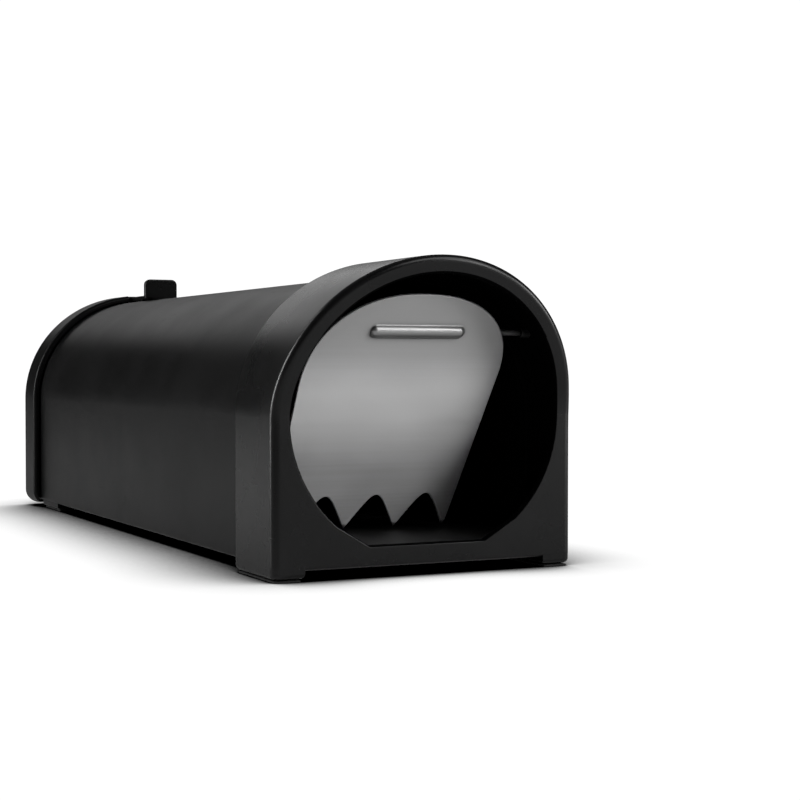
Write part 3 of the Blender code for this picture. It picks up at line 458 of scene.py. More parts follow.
def centred_box(half, near, far, low, high, radius=0.0):
    """Box about the middle plane, between two y values and two z values."""
    return rounded_box("block", (-half, near, low), (half, far, high), radius)


def lathe(name, profile, start, direction, steps=48):
    """Turned solid: (radius, distance) pairs along a direction from a start point."""
    turn = direction.to_track_quat("Z", "Y").to_matrix()
    loops = []
    for radius, along in profile:
        loop = []
        for index in range(steps):
            angle = 2 * pi * index / steps
            loop.append(start + turn @ Vector((radius * cos(angle),
                                               radius * sin(angle), along)))
        loops.append(loop)
    return loft(name, loops)


def rod(name, start, end, radius, chamfer=0.0, steps=48):
    """Round bar between two points with chamfered ends."""
    length = (end - start).length
    profile = [(radius - chamfer, 0.0), (radius, chamfer), (radius, length - chamfer),
               (radius - chamfer, length)]
    if not chamfer:
        profile = [(radius, 0.0), (radius, length)]
    return lathe(name, profile, start, (end - start).normalized(), steps)


def upright(place, low, high, radius, chamfer=0.0):
    """Upright round bar through a place, from one height to another."""
    return rod("upright", Vector((place.x, place.y, low)), Vector((place.x, place.y, high)),
               radius, chamfer)


def crossways(place, start, end, radius, chamfer=0.0):
    """Level round bar across the station through a place, from one x to another."""
    return rod("crossways", Vector((start, place.y, place.z)), Vector((end, place.y, place.z)),
               radius, chamfer)


def final_mesh(item):
    """Mesh of an object as its modifiers or curve settings leave it."""
    bpy.context.view_layer.update()
    depsgraph = bpy.context.evaluated_depsgraph_get()
    return bpy.data.meshes.new_from_object(item.evaluated_get(depsgraph))


def combine(item, operation, tools):
    """Join tools to an item, or cut them out of it, and remove them."""
    for tool in tools:
        step = item.modifiers.new(tool.name, "BOOLEAN")
        step.operation = operation
        step.object = tool
        step.solver = "EXACT"
    mesh = final_mesh(item)
    item.modifiers.clear()
    item.data = mesh
    for tool in tools:
        bpy.data.objects.remove(tool)
    return item


def join(item, *tools):
    return combine(item, "UNION", tools)


def cut(item, *tools):
    return combine(item, "DIFFERENCE", tools)


def publish(item, node, finish=None, smooth=32.0):
    """Let a piece stand for its CAD node: its finish, its shading, its body and its slot."""
    item.name = node + "_look"
    item.data.materials.clear()
    item.data.materials.append(finish or FINISHES[SLOT_OF[node]])
    item.data.shade_smooth()
    item.data.set_sharp_from_angle(angle=radians(smooth))
    weighted = item.modifiers.new("even_shading", "WEIGHTED_NORMAL")
    weighted.keep_sharp = True
    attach(item, BODY_OF[node])
    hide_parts(node)
    return item


# Outlines

def arc(centre, half, rise, first, last, steps):
    """Points of an elliptical arc, both ends included."""
    for index in range(steps + 1):
        angle = first + (last - first) * index / steps
        yield centre[0] + half * cos(angle), centre[1] + rise * sin(angle)


def straight(start, end, steps):
    """Points from start towards end, end left out."""
    for index in range(steps):
        part = index / steps
        yield tuple(a + (b - a) * part for a, b in zip(start, end))


def with_arch(right, half, rise, low):
    """Right-hand flank, arch, mirrored flank and the middle of the base."""
    left = [(-x, z) for x, z in reversed(right)]
    base = list(straight((left[-1][0], low), (right[0][0], low), 16))[1:]
    over = list(arc((0.0, ARCH_Z), half, rise, 0.0, pi, ARCH_STEPS))
    return right + over + left + base


def tunnel_outline(half, rise, low, corner):
    """Closed D shape: base, right corner and leg, arch, left leg and corner."""
    right = list(arc((half - corner, low + corner), corner, corner, -pi / 2, 0.0, 8))
    right += list(straight((half, low + corner), (half, ARCH_Z), 10))[1:]
    return with_arch(right, half, rise, low)


def entrance_outline(grow=0.0):
    """Round entrance with a flat sill and a slanted corner at each end of it."""
    half = ENTRANCE_HALF + grow
    rise = ENTRANCE_RISE + grow
    low = SILL_Z - grow
    slant_end = (half * cos(SILL_ARC_START), ARCH_Z + rise * sin(SILL_ARC_START))
    right = list(straight((SILL_HALF, low), slant_end, 8))
    right += list(arc((0.0, ARCH_Z), half, rise, SILL_ARC_START, 0.0, 10))[:-1]
    return with_arch(right, half, rise, low)


def stadium(reach, radius, steps=24, centre=(0.0, 0.0)):
    """Slot outline: straight sides of half length reach, with round ends."""
    points = []
    for index in range(2 * steps):
        angle = pi * (index + 0.5) / steps - pi / 2
        side = copysign(reach, cos(angle))
        points.append((centre[0] + side + radius * cos(angle),
                       centre[1] + radius * sin(angle)))
    return points


def hood_lean(z):
    """Forward lean of the collar's face at a height, eased in above the legs."""
    above = z - HOOD_START_Z
    if above <= -HOOD_BLEND:
        return 0.0
    if above >= HOOD_BLEND:
        return above * HOOD_SLOPE
    return (above + HOOD_BLEND) ** 2 / (4 * HOOD_BLEND) * HOOD_SLOPE


def upright_loop(outline, depth):
    return [at(depth, x, z) for x, z in outline]


def leaning_loop(outline, depth):
    return [at(depth - hood_lean(z), x, z) for x, z in outline]


def collar_outline(inwards, low=None):
    base = BASE_Z + BASE_SHARE * inwards if low is None else low
    return tunnel_outline(COLLAR_HALF - inwards, COLLAR_RISE - inwards, base,
                          max(COLLAR_CORNER - inwards, LEAST_CORNER))


# Node materials

class Finish:
    """A node material under construction: short calls that add and link shader nodes."""

    def __init__(self, name, roughness, metallic=0.0, specular=0.5):
        self.material = bpy.data.materials.new(name)
        self.material.use_nodes = True
        self.tree = self.material.node_tree
        self.shader = self.tree.nodes["Principled BSDF"]
        self.shader.inputs["Roughness"].default_value = roughness
        self.shader.inputs["Metallic"].default_value = metallic
        self.shader.inputs["Specular IOR Level"].default_value = specular
        self.place = self.add("ShaderNodeTexCoord").outputs["Object"]

    def add(self, kind, feeds=None, **settings):
        """New node with its settings, and what feeds each of its named or numbered inputs."""
        made = self.tree.nodes.new(kind)
        for key, value in settings.items():
            setattr(made, key, value)
        for key, value in (feeds or {}).items():
            self.feed(made.inputs[key], value)
        return made

    def feed(self, socket, value):
        if isinstance(value, bpy.types.NodeSocket):
            self.tree.links.new(value, socket)
        else:
            socket.default_value = value

    def stretched(self, scale):
        """Coordinates scaled by axis, for directional grain."""
        return self.add("ShaderNodeMapping", {"Vector": self.place, "Scale": scale}).outputs[0]

    def noise(self, scale, detail=3.0, roughness=0.5, vector=None):
        feeds = {"Vector": vector or self.place, "Scale": scale, "Detail": detail,
                 "Roughness": roughness}
        return self.add("ShaderNodeTexNoise", feeds).outputs["Fac"]

    def spread(self, value, low, high, out_low, out_high):
        """A value mapped smoothly from one range to another."""
        feeds = dict(enumerate((value, low, high, out_low, out_high)))
        return self.add("ShaderNodeMapRange", feeds, interpolation_type="SMOOTHSTEP").outputs[0]

    def mix(self, factor, first, second):
        feeds = {0: factor, 6: first, 7: second}
        return self.add("ShaderNodeMix", feeds, data_type="RGBA").outputs[2]

    def total(self, first, second):
        return self.add("ShaderNodeMath", {0: first, 1: second}, operation="ADD").outputs[0]

    def bump(self, height, distance, after=None):
        feeds = {"Height": height, "Distance": distance}
        if after is not None:
            feeds["Normal"] = after
        return self.add("ShaderNodeBump", feeds).outputs["Normal"]

    def finish(self, colour, roughness, normal):
        for key, value in (("Base Color", colour), ("Roughness", roughness), ("Normal", normal)):
            self.feed(self.shader.inputs[key], value)
        return self.material


def tone(value, tint=(1.0, 1.0, 1.0)):
    return tuple(value * part for part in tint) + (1.0,)


def moulded_plastic(name, dark, light, sheen, specular, grain=0.004 * MM):
    """Black moulded plastic: fine spark grain, cloudy sheen and a few rubbed streaks."""
    made = Finish(name, sheen, specular=specular)
    cloud = made.noise(38.0, 4.0, 0.55)
    streak = made.noise(1.0, 4.0, 0.6, made.stretched((420.0, 60.0, 260.0)))
    colour = made.mix(made.spread(cloud, 0.3, 0.7, 0.0, 1.0), tone(dark, (1.0, 1.0, 1.04)),
                      tone(light, (1.0, 1.0, 1.03)))
    colour = made.mix(made.spread(streak, 0.66, 0.9, 0.0, 0.35), colour, tone(light * 1.9))
    roughness = made.total(made.spread(cloud, 0.25, 0.75, sheen - 0.03, sheen + 0.03),
                           made.spread(streak, 0.62, 0.8, 0.0, 0.05))
    fine = made.bump(made.noise(3600.0, 2.0, 0.6), grain)
    swell = made.bump(made.noise(140.0, 1.0), 0.006 * MM, fine)
    return made.finish(colour, roughness, swell)


def brushed_steel(name, shade, sheen, smear=0.75):
    """Stainless with long straight brush lines across the station, a faint tarnish, painted shade and
    a painted highlight band.
    """
    made = Finish(name, sheen, metallic=1.0)
    lines = made.noise(1.0, 3.0, 0.7, made.stretched((26.0, 5200.0, 5200.0)))
    bands = made.noise(1.0, 2.0, 0.6, made.stretched((9.0, 900.0, 900.0)))
    cloud = made.noise(60.0, 3.0)
    colour = made.mix(made.spread(bands, 0.3, 0.7, 0.0, 1.0), tone(shade * 0.975),
                      tone(shade * 1.02, (1.0, 1.0, 1.01)))
    colour = made.mix(made.spread(cloud, 0.5, 0.8, 0.0, 0.25), colour, tone(shade * 0.85))
    # Painted shade: darken the colour in creases and round the bead, from ambient occlusion
    crease = made.add("ShaderNodeAmbientOcclusion", {"Distance": CREASE_REACH}, samples=16)
    painted_crease_shade = made.spread(crease.outputs["AO"], *CREASE_RANGE, CREASE_MOST, 0.0)
    height = made.add("ShaderNodeSeparateXYZ", {0: made.place}).outputs[2]
    # Painted shade: darker towards the top of the flap, under the hood
    painted_hood_shade = made.spread(height, *HOOD_SHADE_HEIGHTS, 0.0, 1.0)
    colour = made.mix(painted_hood_shade, colour, tone(shade * HOOD_PAINTED_SHADE))
    # Painted highlight: a lighter band across the middle height of the flap
    bright = made.total(made.spread(height, *HIGHLIGHT_BAND_RISE, 0.0, HIGHLIGHT_BAND_GAIN),
                        made.spread(height, *HIGHLIGHT_BAND_FALL, 0.0, -HIGHLIGHT_BAND_GAIN))
    colour = made.mix(bright, colour, tone(shade * PAINTED_HIGHLIGHT_TONE))
    colour = made.mix(painted_crease_shade, colour, tone(shade * CREASE_PAINTED_SHADE))
    roughness = made.total(made.spread(lines, 0.25, 0.75, sheen - 0.03, sheen + 0.03),
                           made.spread(cloud, 0.3, 0.7, 0.0, 0.04))
    made.shader.inputs["Anisotropic"].default_value = smear
    tangent = made.add("ShaderNodeTangent", direction_type="RADIAL", axis="X")
    made.feed(made.shader.inputs["Tangent"], tangent.outputs[0])
    return made.finish(colour, roughness, made.bump(lines, 0.0012 * MM))


def plated_steel(name):
    """Bright zinc plate: faint blue and straw clouds over a fine matt grain."""
    made = Finish(name, 0.34, metallic=1.0)
    cloud = made.noise(420.0, 3.0)
    colour = made.mix(made.spread(cloud, 0.35, 0.65, 0.0, 1.0), tone(0.50, (0.97, 1.0, 1.05)),
                      tone(0.56, (1.04, 1.0, 0.93)))
    roughness = made.spread(made.noise(1500.0, 3.0), 0.25, 0.75, 0.26, 0.42)
    return made.finish(colour, roughness, made.bump(made.noise(5200.0, 2.0), 0.003 * MM))


def soft_black(name, sheen, specular, cloud, tones, gloss, grain, depth):
    """Rubber or nylon: a dark, dusty, mottled surface over a fine grain."""
    made = Finish(name, sheen, specular=specular)
    patch = made.noise(cloud[0], cloud[1])
    colour = made.mix(made.spread(patch, 0.35, cloud[2], 0.0, 1.0), *map(tone, tones))
    roughness = made.spread(patch, 0.3, 0.7, *gloss)
    return made.finish(colour, roughness, made.bump(made.noise(*grain), depth))


FINISHES = {
    "black_plastic": moulded_plastic("shell_black", 0.0044, 0.006, 0.36, 0.13),
    "tray_plastic": moulded_plastic("tray_black", 0.006, 0.009, 0.50, 0.28, 0.008 * MM),
    "stainless_sheet": brushed_steel("brushed_stainless", 0.68, 0.48),
    "zinc_steel": plated_steel("zinc_plate"),
    "foot_rubber": soft_black("pad_rubber", 0.75, 0.35, (300.0, 4.0, 0.7), (0.008, 0.016),
                              (0.68, 0.84), (2400.0, 3.0, 0.7), 0.02 * MM),
    "bush_nylon": soft_black("bush_nylon", 0.45, 0.4, (700.0, 3.0, 0.65), (0.010, 0.015),
                             (0.40, 0.52), (3000.0, 2.0), 0.004 * MM),
}
COLLAR_BLACK = moulded_plastic("collar_black", 0.0042, 0.006, 0.28, 0.34)
# Painted shade: a darker copy of the stainless for the axle, which sits in the tunnel's shade
AXLE_SHADED_STEEL = brushed_steel("axle_shaded_steel", 0.34, 0.48)
# Painted shade: a darker copy of the stainless for the pressed bead, also glossier and without the
# brush smear
BEAD_SHADED_STEEL = brushed_steel("bead_shaded_steel", 0.55, 0.40, 0.0)
# Painted highlight: a much lighter copy of the stainless for the sheared rim of the flap
RIM_PAINTED_HIGHLIGHT = brushed_steel("rim_painted_highlight", 0.95, 0.55, 0.0)
# Painted shade: a darker, nearly unreflecting copy of the black plastic for faces inside the tunnel
INSIDE_PAINTED_SHADE = moulded_plastic("inside_painted_shade", 0.0012, 0.002, 0.75, 0.01)


# Fixed body

def foot_block(pad):
    """Moulded foot above a rubber pad, rounded like a casting."""
    low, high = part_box(pad)
    return rounded_box("foot", (low.x - PAD_INSET, low.y - PAD_INSET, FOOT_LOW_Z),
                       (high.x + PAD_INSET, high.y + PAD_INSET, REAR_FOOT_TOP_Z), FOOT_ROUND)


def leg_foot(side):
    """Foot that carries a leg of the collar down, flush with its face and its side."""
    loops = [[at(depth, side * x, FOOT_LOW_Z + rise) for x, depth in foot_plan(inwards)]
             for inwards, rise in quarter(LEG_FOOT_ROUND, 8)]
    loops.append([at(depth, side * x, FRONT_FOOT_TOP_Z) for x, depth in foot_plan(0.0)])
    return loft("leg_foot", loops)


def heel_cutter(side):
    """Everything outside the rounded rear corner under a leg of the collar."""
    back = FACE_Y + COLLAR_DEPTH
    start = back - HEEL_ROUND
    top = FOOT_LOW_Z + HEEL_ROUND
    outline = list(arc((start, top), HEEL_ROUND, HEEL_ROUND, -pi / 2, 0.0, 12))
    outline += [(back + MM, top), (back + MM, FOOT_LOW_Z - MM), (start, FOOT_LOW_Z - MM)]
    outline.reverse()
    near, far = sorted((side * (FRONT_FOOT_X - HEEL_MARGIN), side * (COLLAR_HALF + MM)))
    return prism("heel", outline, near, far, SIDE_ON)


def foot_plan(inwards):
    """Plan of a front foot: its outer corners follow the collar's two roundings."""
    inwards += FOOT_SINK
    outer = COLLAR_HALF - inwards
    inner = FRONT_FOOT_X + inwards
    front = FRONT_ROUND - inwards
    rear = REAR_ROUND - inwards
    points = [(inner, inwards + FACE_SINK)]
    points += list(arc((outer - front, FRONT_ROUND + FACE_SINK), front, front, -pi / 2, 0.0, 12))
    points += list(arc((outer - rear, COLLAR_DEPTH - REAR_ROUND), rear, rear, 0.0, pi / 2, 8))
    points.append((inner, COLLAR_DEPTH - inwards))
    return points


def paint_inside_shade(item):
    """Give the faces that look in at the tunnel's middle, or out at its mouth, a dead black: painted
    shade.
    """
    item.data.materials.append(INSIDE_PAINTED_SHADE)
    for face in item.data.polygons:
        outwards = Vector((face.center.x, 0.0, face.center.z - ARCH_Z))
        inwards = face.normal.dot(outwards) < -FACING * outwards.length
        behind_ring = face.center.y > FACE_Y + COLLAR_WALL - hood_lean(face.center.z) + MM
        if inwards or (behind_ring and face.normal.y < -FACING):
            face.material_index = 1


def make_collar():
    """Entrance collar: rounded hood, face ring, lipped entrance, sill and shell socket."""
    loops = [upright_loop(collar_outline(inwards), COLLAR_DEPTH - back)
             for inwards, back in quarter(REAR_ROUND, 8)]
    loops += [leaning_loop(collar_outline(inwards), back + FACE_SINK)
              for inwards, back in reversed(list(quarter(FRONT_ROUND, 12)))]
    loops += [leaning_loop(entrance_outline(inwards), back + FACE_SINK)
              for inwards, back in quarter(ENTRANCE_LIP, 5)]
    loops.append(leaning_loop(entrance_outline(), COLLAR_WALL))
    loops.append(leaning_loop(collar_outline(COLLAR_WALL, COLLAR_FLOOR), COLLAR_WALL))
    socket = COLLAR_HALF - SHELL_HALF - FIT
    for inwards, depth in ((COLLAR_WALL, SOCKET_D - SOCKET_SLOPE), (socket, SOCKET_D),
                           (socket, COLLAR_DEPTH - MOUTH_DEPTH), (socket - MOUTH_FLARE, COLLAR_DEPTH)):
        loops.append(upright_loop(collar_outline(inwards, COLLAR_FLOOR), depth))
    collar = loft("collar", loops, "joined")
    join(collar, *[leg_foot(side) for side, _ in SIDES])
    holes = []
    for side, label in SIDES:
        low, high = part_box("axle_bush_" + label)
        outer = max(abs(low.x), abs(high.x))
        holes.append(crossways(AXLE, side * (outer - BUSH_SEAT_DEPTH), side * (outer + BUSH_GAP),
                               (high.z - low.z) / 2 + FIT))
        holes.append(upright(middle("collar_screw_" + label), 0.0, COLLAR_FLOOR + MM,
                             SCREW_RADIUS + FIT))
    cut(collar, *holes, *[heel_cutter(side) for side, _ in SIDES])
    publish(collar, "entrance_collar", COLLAR_BLACK)
    paint_inside_shade(collar)


def make_shell():
    """Arched shell with rounded leg edges, screw posts, catch pocket and rear feet."""
    arch = (0.0, ARCH_Z)
    edge = SHELL_WALL / 2
    leg_x = SHELL_HALF - edge
    outline = list(arc(arch, SHELL_HALF, SHELL_RISE, 0.0, pi, ARCH_STEPS))
    outline += list(arc((-leg_x, BASE_Z + edge), edge, edge, pi, 2 * pi, 10))
    inside = arc(arch, LEG_INSIDE, SHELL_RISE - SHELL_WALL, 0.0, pi, ARCH_STEPS)
    outline += reversed(list(inside))
    outline += list(arc((leg_x, BASE_Z + edge), edge, edge, pi, 2 * pi, 10))
    face_on = frame_matrix(X_AXIS, Z_AXIS, at(0.0))
    shell = prism("shell", outline, FACE_Y - SHELL_HIGH.y, FACE_Y - SHELL_LOW.y, face_on, EDGE_ROUND)
    posts = []
    bores = []
    for side, label in SIDES:
        for place in PLACES:
            screw = middle(f"tray_screw_{place}_{label}")
            posts.append(upright(screw, SILL_Z + RIB_HEIGHT + FIT, POST_TOP, POST_RADIUS, EDGE_ROUND))
            bores.append(upright(screw, 0.0, POST_TOP - POST_CAP, SCREW_RADIUS + FIT))
        pad = "rear_pad_" + label
        low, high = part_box(pad)
        inner = min(abs(low.x), abs(high.x)) - PAD_INSET
        posts.append(rounded_box("ledge", (side * inner, low.y - PAD_INSET, BASE_Z - LEDGE_SINK),
                                 (side * (LEG_INSIDE + BITE), high.y + PAD_INSET, LEDGE_TOP_Z)))
        posts.append(foot_block(pad))
    join(shell, *posts)
    wide = SHELL_HALF + MARGIN
    rooms = [centred_box(wide, FACE_Y, FACE_Y + COLLAR_DEPTH + FIT, 0.0, COLLAR_FLOOR + FIT),
             centred_box(wide, TRAY_HIGH.y - HEEL_ROOM, FACE_Y + CLEAR_D, 0.0, HEEL_ROOM_Z),
             centred_box(NOTCH_HALF, DOOR_LOW.y - FIT, FACE_Y + CLEAR_D, NOTCH_LOW_Z, CLEAR_Z)]
    cut(shell, catch_pocket(), *bores, *rooms)
    publish(shell, "tunnel_shell")
    paint_inside_shade(shell)


def catch_pocket():
    """Shallow pocket in the crown, with a ramp that the latch tooth rides up."""
    deep = SHELL_HIGH.z - CATCH_DEPTH
    above = SHELL_HIGH.z + 2.0 * MM
    front = FACE_Y + CATCH_D - CATCH_GAP
    back = front + CATCH_REACH
    outline = [(front, deep), (front + CATCH_FLAT, deep), (back, SHELL_HIGH.z + 0.1 * MM),
               (back, above), (front, above)]
    return prism("pocket", outline, -CATCH_HALF, CATCH_HALF, SIDE_ON)


def make_tray():
    """Ribbed floor tray with screw bosses and the hinge knuckles of the door."""
    under = SILL_Z - TRAY_THICK
    back = TRAY_HIGH.y - (KNUCKLE_RADIUS + ARM_LENGTH)
    front = TRAY_LOW.y
    outline = [(front, under), (back, under), (back, SILL_Z)]
    for number in reversed(range(RIB_COUNT)):
        start = FACE_Y + RIB_FIRST_D + number * RIB_PITCH
        outline += list(arc((start + RIB_WIDTH / 2, SILL_Z), RIB_WIDTH / 2, RIB_HEIGHT, 0.0,
                            pi, 8))
    outline.append((front, SILL_Z))
    tray = prism("tray", outline, TRAY_LOW.x, TRAY_HIGH.x, SIDE_ON, TRAY_ROUND)
    bosses = []
    bores = []
    inner, outer = TRAY_KNUCKLE_SPAN
    for side, label in SIDES:
        spots = [(f"tray_screw_{place}_{label}", TRAY_BOSS_LOW_Z, BOSS_RADIUS, TRAY_BORE_TOP_Z)
                 for place in PLACES]
        spots.append(("collar_screw_" + label, COLLAR_FLOOR + FIT, COLLAR_BOSS_RADIUS,
                      COLLAR_BORE_TOP_Z))
        for node, low, radius, bore_top in spots:
            bosses.append(upright(middle(node), low, SILL_Z - TRAY_THICK / 2, radius, 0.2 * MM))
            bores.append(upright(middle(node), 0.0, bore_top, SCREW_RADIUS + FIT))
        bosses.append(rounded_box("arm", (side * inner, back - ARM_BITE, ARM_LOW_Z),
                                  (side * outer, HINGE.y, SILL_Z - ARM_DROP)))
        bosses.append(crossways(HINGE, side * inner, side * outer, KNUCKLE_RADIUS, KNUCKLE_CHAMFER))
    join(tray, *bosses)
    cut(tray, hinge_bore(), *bores)
    publish(tray, "floor_tray")


def hinge_bore():
    low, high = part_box("door_hinge_pin")
    reach = high.x + 0.8 * MM
    return crossways(HINGE, -reach, reach, HINGE.z - low.z + PIN_FIT)


def make_pads():
    """Rubber pads with grooves moulded into their undersides."""
    for node in PADS:
        low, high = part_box(node)
        pitch = (high.y - low.y) / (GROOVE_COUNT + 1)
        grooves = []
        for number in range(1, GROOVE_COUNT + 1):
            centre = low.y + pitch * number
            grooves.append(rounded_box("groove", (low.x - MM, centre - GROOVE_HALF, -MM),
                                       (high.x + MM, centre + GROOVE_HALF, GROOVE_TOP_Z),
                                       GROOVE_ROUND, 2))
        publish(cut(rounded_box("pad", low, high, PAD_ROUND), *grooves), node)


def make_screws():
    """Pan-head self-tapping screws with a real thread and a cross recess."""
    for node in SCREWS:
        low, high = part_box(node)
        centre = (low + high) / 2
        arm = RECESS_SHARE * HEAD_RADIUS
        deep = low.z + HEAD_HEIGHT - RECESS_SHARE * HEAD_HEIGHT
        body = threaded_bar(Vector((centre.x, centre.y, low.z)), high.z - low.z)
        tools = [rounded_box("recess", (centre.x - half_x, centre.y - half_y, low.z - MM),
                             (centre.x + half_x, centre.y + half_y, deep))
                 for half_x, half_y in ((arm, RECESS_HALF), (RECESS_HALF, arm))]
        publish(cut(body, *tools), node)


def threaded_bar(base, length, steps=24):
    """Pan head below, threaded shank above, drawn to a point."""
    angles = [2 * pi * index / steps for index in range(steps)]
    loops = [[base + Vector((radius * HEAD_RADIUS * cos(angle),
                             radius * HEAD_RADIUS * sin(angle), height * HEAD_HEIGHT))
              for angle in angles] for radius, height in HEAD_PROFILE]
    rise = HEAD_HEIGHT
    while rise < length - 0.05 * MM:
        taper = min(1.0, max(POINT_LEAST, (length - rise) / POINT_LENGTH))
        loop = []
        for index, angle in enumerate(angles):
            phase = ((rise - HEAD_HEIGHT) / THREAD_PITCH - index / steps) % 1.0
            crest = max(0.0, 1.0 - abs(phase - 0.5) * THREAD_SHARPNESS)
            radius = (SCREW_RADIUS - THREAD_DEPTH * (1.0 - crest)) * taper
            loop.append(base + Vector((radius * cos(angle), radius * sin(angle), rise)))
        loops.append(loop)
        rise += THREAD_PITCH / THREAD_STEPS
    return loft("screw", loops)


def make_pins():
    """Hinge pin, latch pin and bait rod, each with chamfered ends."""
    for node in PINS:
        low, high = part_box(node)
        radius = (high.z - low.z) / 2
        publish(crossways((low + high) / 2, low.x, high.x, radius, 0.25 * radius), node)


def make_bushes():
    """Nylon sleeves with a chamfered mouth, pressed into the collar's walls."""
    for node in BUSHES:
        low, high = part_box(node)
        outer = (high.z - low.z) / 2
        length = high.x - low.x
        wide = BUSH_BORE + BUSH_MOUTH
        slim = outer - BUSH_MOUTH
        deep = length - BUSH_MOUTH
        profile = [(wide, 0.0), (slim, 0.0), (outer, BUSH_MOUTH), (outer, deep), (slim, length),
                   (wide, length), (BUSH_BORE, deep), (BUSH_BORE, BUSH_MOUTH)]
        publish(ring(profile, Vector((low.x, AXLE.y, AXLE.z))), node)


def ring(profile, start, steps=40):
    """Ring turned about X from a closed (radius, distance) profile."""
    loops = []
    for radius, along in profile:
        loops.append([start + Vector((along, radius * cos(angle), radius * sin(angle)))
                      for angle in (2 * pi * index / steps for index in range(steps))])
    return loft("ring", loops, "joined")


# Flap

def flap_matrix(across=True):
    """Outline axes in the flap's own plane, or in its side view, at the axle."""
    up = Vector((0.0, -sin(FLAP_TILT), cos(FLAP_TILT)))
    forward = Vector((0.0, -cos(FLAP_TILT), -sin(FLAP_TILT)))
    if across:
        return frame_matrix(X_AXIS, up, AXLE)
    return frame_matrix(up, forward, AXLE)


def tooth_edge(x):
    """Distance of the toothed edge below the axle: rounded valleys, pointed tips."""
    half = TOOTH_PITCH / 2
    to_valley = abs((x - TOOTH_VALLEY_X + half) % TOOTH_PITCH - half)
    rise = hypot(to_valley / half, TOOTH_BLEND) - TOOTH_BLEND
    return TOOTH_TIP - TOOTH_DEPTH * (1 - rise / (hypot(1.0, TOOTH_BLEND) - TOOTH_BLEND))


def flap_outline():
    """Arch-topped plate seen square on, drawn anticlockwise: x across, second value up."""
    points = []
    for index in range(2 * FLAP_STEPS + 1):
        angle = pi / 2 * index / FLAP_STEPS
        along = cos(angle)
        half, rise = (FLAP_RIGHT, FLAP_RIGHT_ARCH) if along > 0 else (FLAP_LEFT, FLAP_LEFT_ARCH)
        points.append((half * copysign(abs(along) ** FLAP_POWER, along),
                       FLAP_TOP - rise + rise * max(sin(angle), 0.0) ** FLAP_POWER))
    low = FLAP_RIGHT - FLAP_RIGHT_TAPER * (TOOTH_TIP + FLAP_TOP - FLAP_RIGHT_ARCH)
    for index in range(EDGE_STEPS + 1):
        x = -FLAP_LEFT + (FLAP_LEFT + low) * index / EDGE_STEPS
        points.append((x, -tooth_edge(x)))
    return points


def bead_profile(centre_depth, radius):
    """(distance from the bead's spine, height) from its crest to its faired foot."""
    reach = sqrt((radius + BEAD_FILLET) ** 2 - (centre_depth + BEAD_FILLET) ** 2)
    lean = atan2(reach, centre_depth + BEAD_FILLET)
    pairs = []
    for index in range(9):
        angle = lean * (0.04 + 0.96 * index / 8)
        pairs.append((radius * sin(angle), radius * cos(angle) - centre_depth))
    for index in range(1, 6):
        angle = lean * (1 - index / 5)
        pairs.append((reach - BEAD_FILLET * sin(angle),
                      BEAD_FILLET - BEAD_FILLET * cos(angle)))
    return pairs


def make_flap():
    """Stainless plate: eased edges, toothed foot and a bead pressed right through it."""
    matrix = flap_matrix()
    builder = bmesh.new()
    outline = flap_outline()
    back = FLAP_OFFSET
    front = FLAP_OFFSET + FLAP_THICK

    def raised(points, height):
        return [matrix @ Vector((u, v, height)) for u, v in points]

    edge = [(inset(outline, inwards), step) for inwards, step in quarter(FLAP_EDGE, 3)]
    loops = [raised(points, back + step) for points, step in edge]
    loops += [raised(points, front - step) for points, step in reversed(edge)]
    rims = add_skin(builder, loops, "open")
    spine = BEAD_HALF - BEAD_RADIUS
    feet = []
    for base, share in ((back, BEAD_BACK_SHARE), (front, 1.0)):
        rings = [raised(stadium(spine, radius, centre=(BEAD_X, BEAD_RISE)), base + height * share)
                 for radius, height in bead_profile(FLAP_THICK / 2, BEAD_RADIUS)]
        crest, foot = add_skin(builder, rings, "open")
        builder.faces.new(crest)
        feet.append(foot)
    for rim, foot in zip(rims, feet):
        edges = [edge_between(loop, index) for loop in (rim, foot) for index in range(len(loop))]
        bmesh.ops.triangle_fill(builder, edges=edges, use_beauty=True)
    plate = publish(new_object("flap", builder), "flap_plate")
    paint_plate(plate, matrix.inverted(), front)


def paint_plate(plate, to_plane, front):
    """Give the pressed bead a darker copy of the stainless, painted shade, and the sheared rim a much
    lighter copy, a painted highlight.
    """
    plate.data.materials.append(BEAD_SHADED_STEEL)
    plate.data.materials.append(RIM_PAINTED_HIGHLIGHT)
    for face in plate.data.polygons:
        height = (to_plane @ face.center).z
        flatness = abs((to_plane.to_3x3() @ face.normal).z)
        # Painted shade: the bead's faces take the darker copy
        if height > front + BEAD_START:
            face.material_index = 1
        # Painted highlight: the rim faces take the much lighter copy
        elif flatness < RIM_FLATNESS and height > FLAP_OFFSET:
            face.material_index = 2


def edge_between(ring, index):
    """Edge of a closed ring of vertices that starts at an index."""
    after = ring[(index + 1) % len(ring)]
    return next(edge for edge in ring[index].link_edges if after in edge.verts)


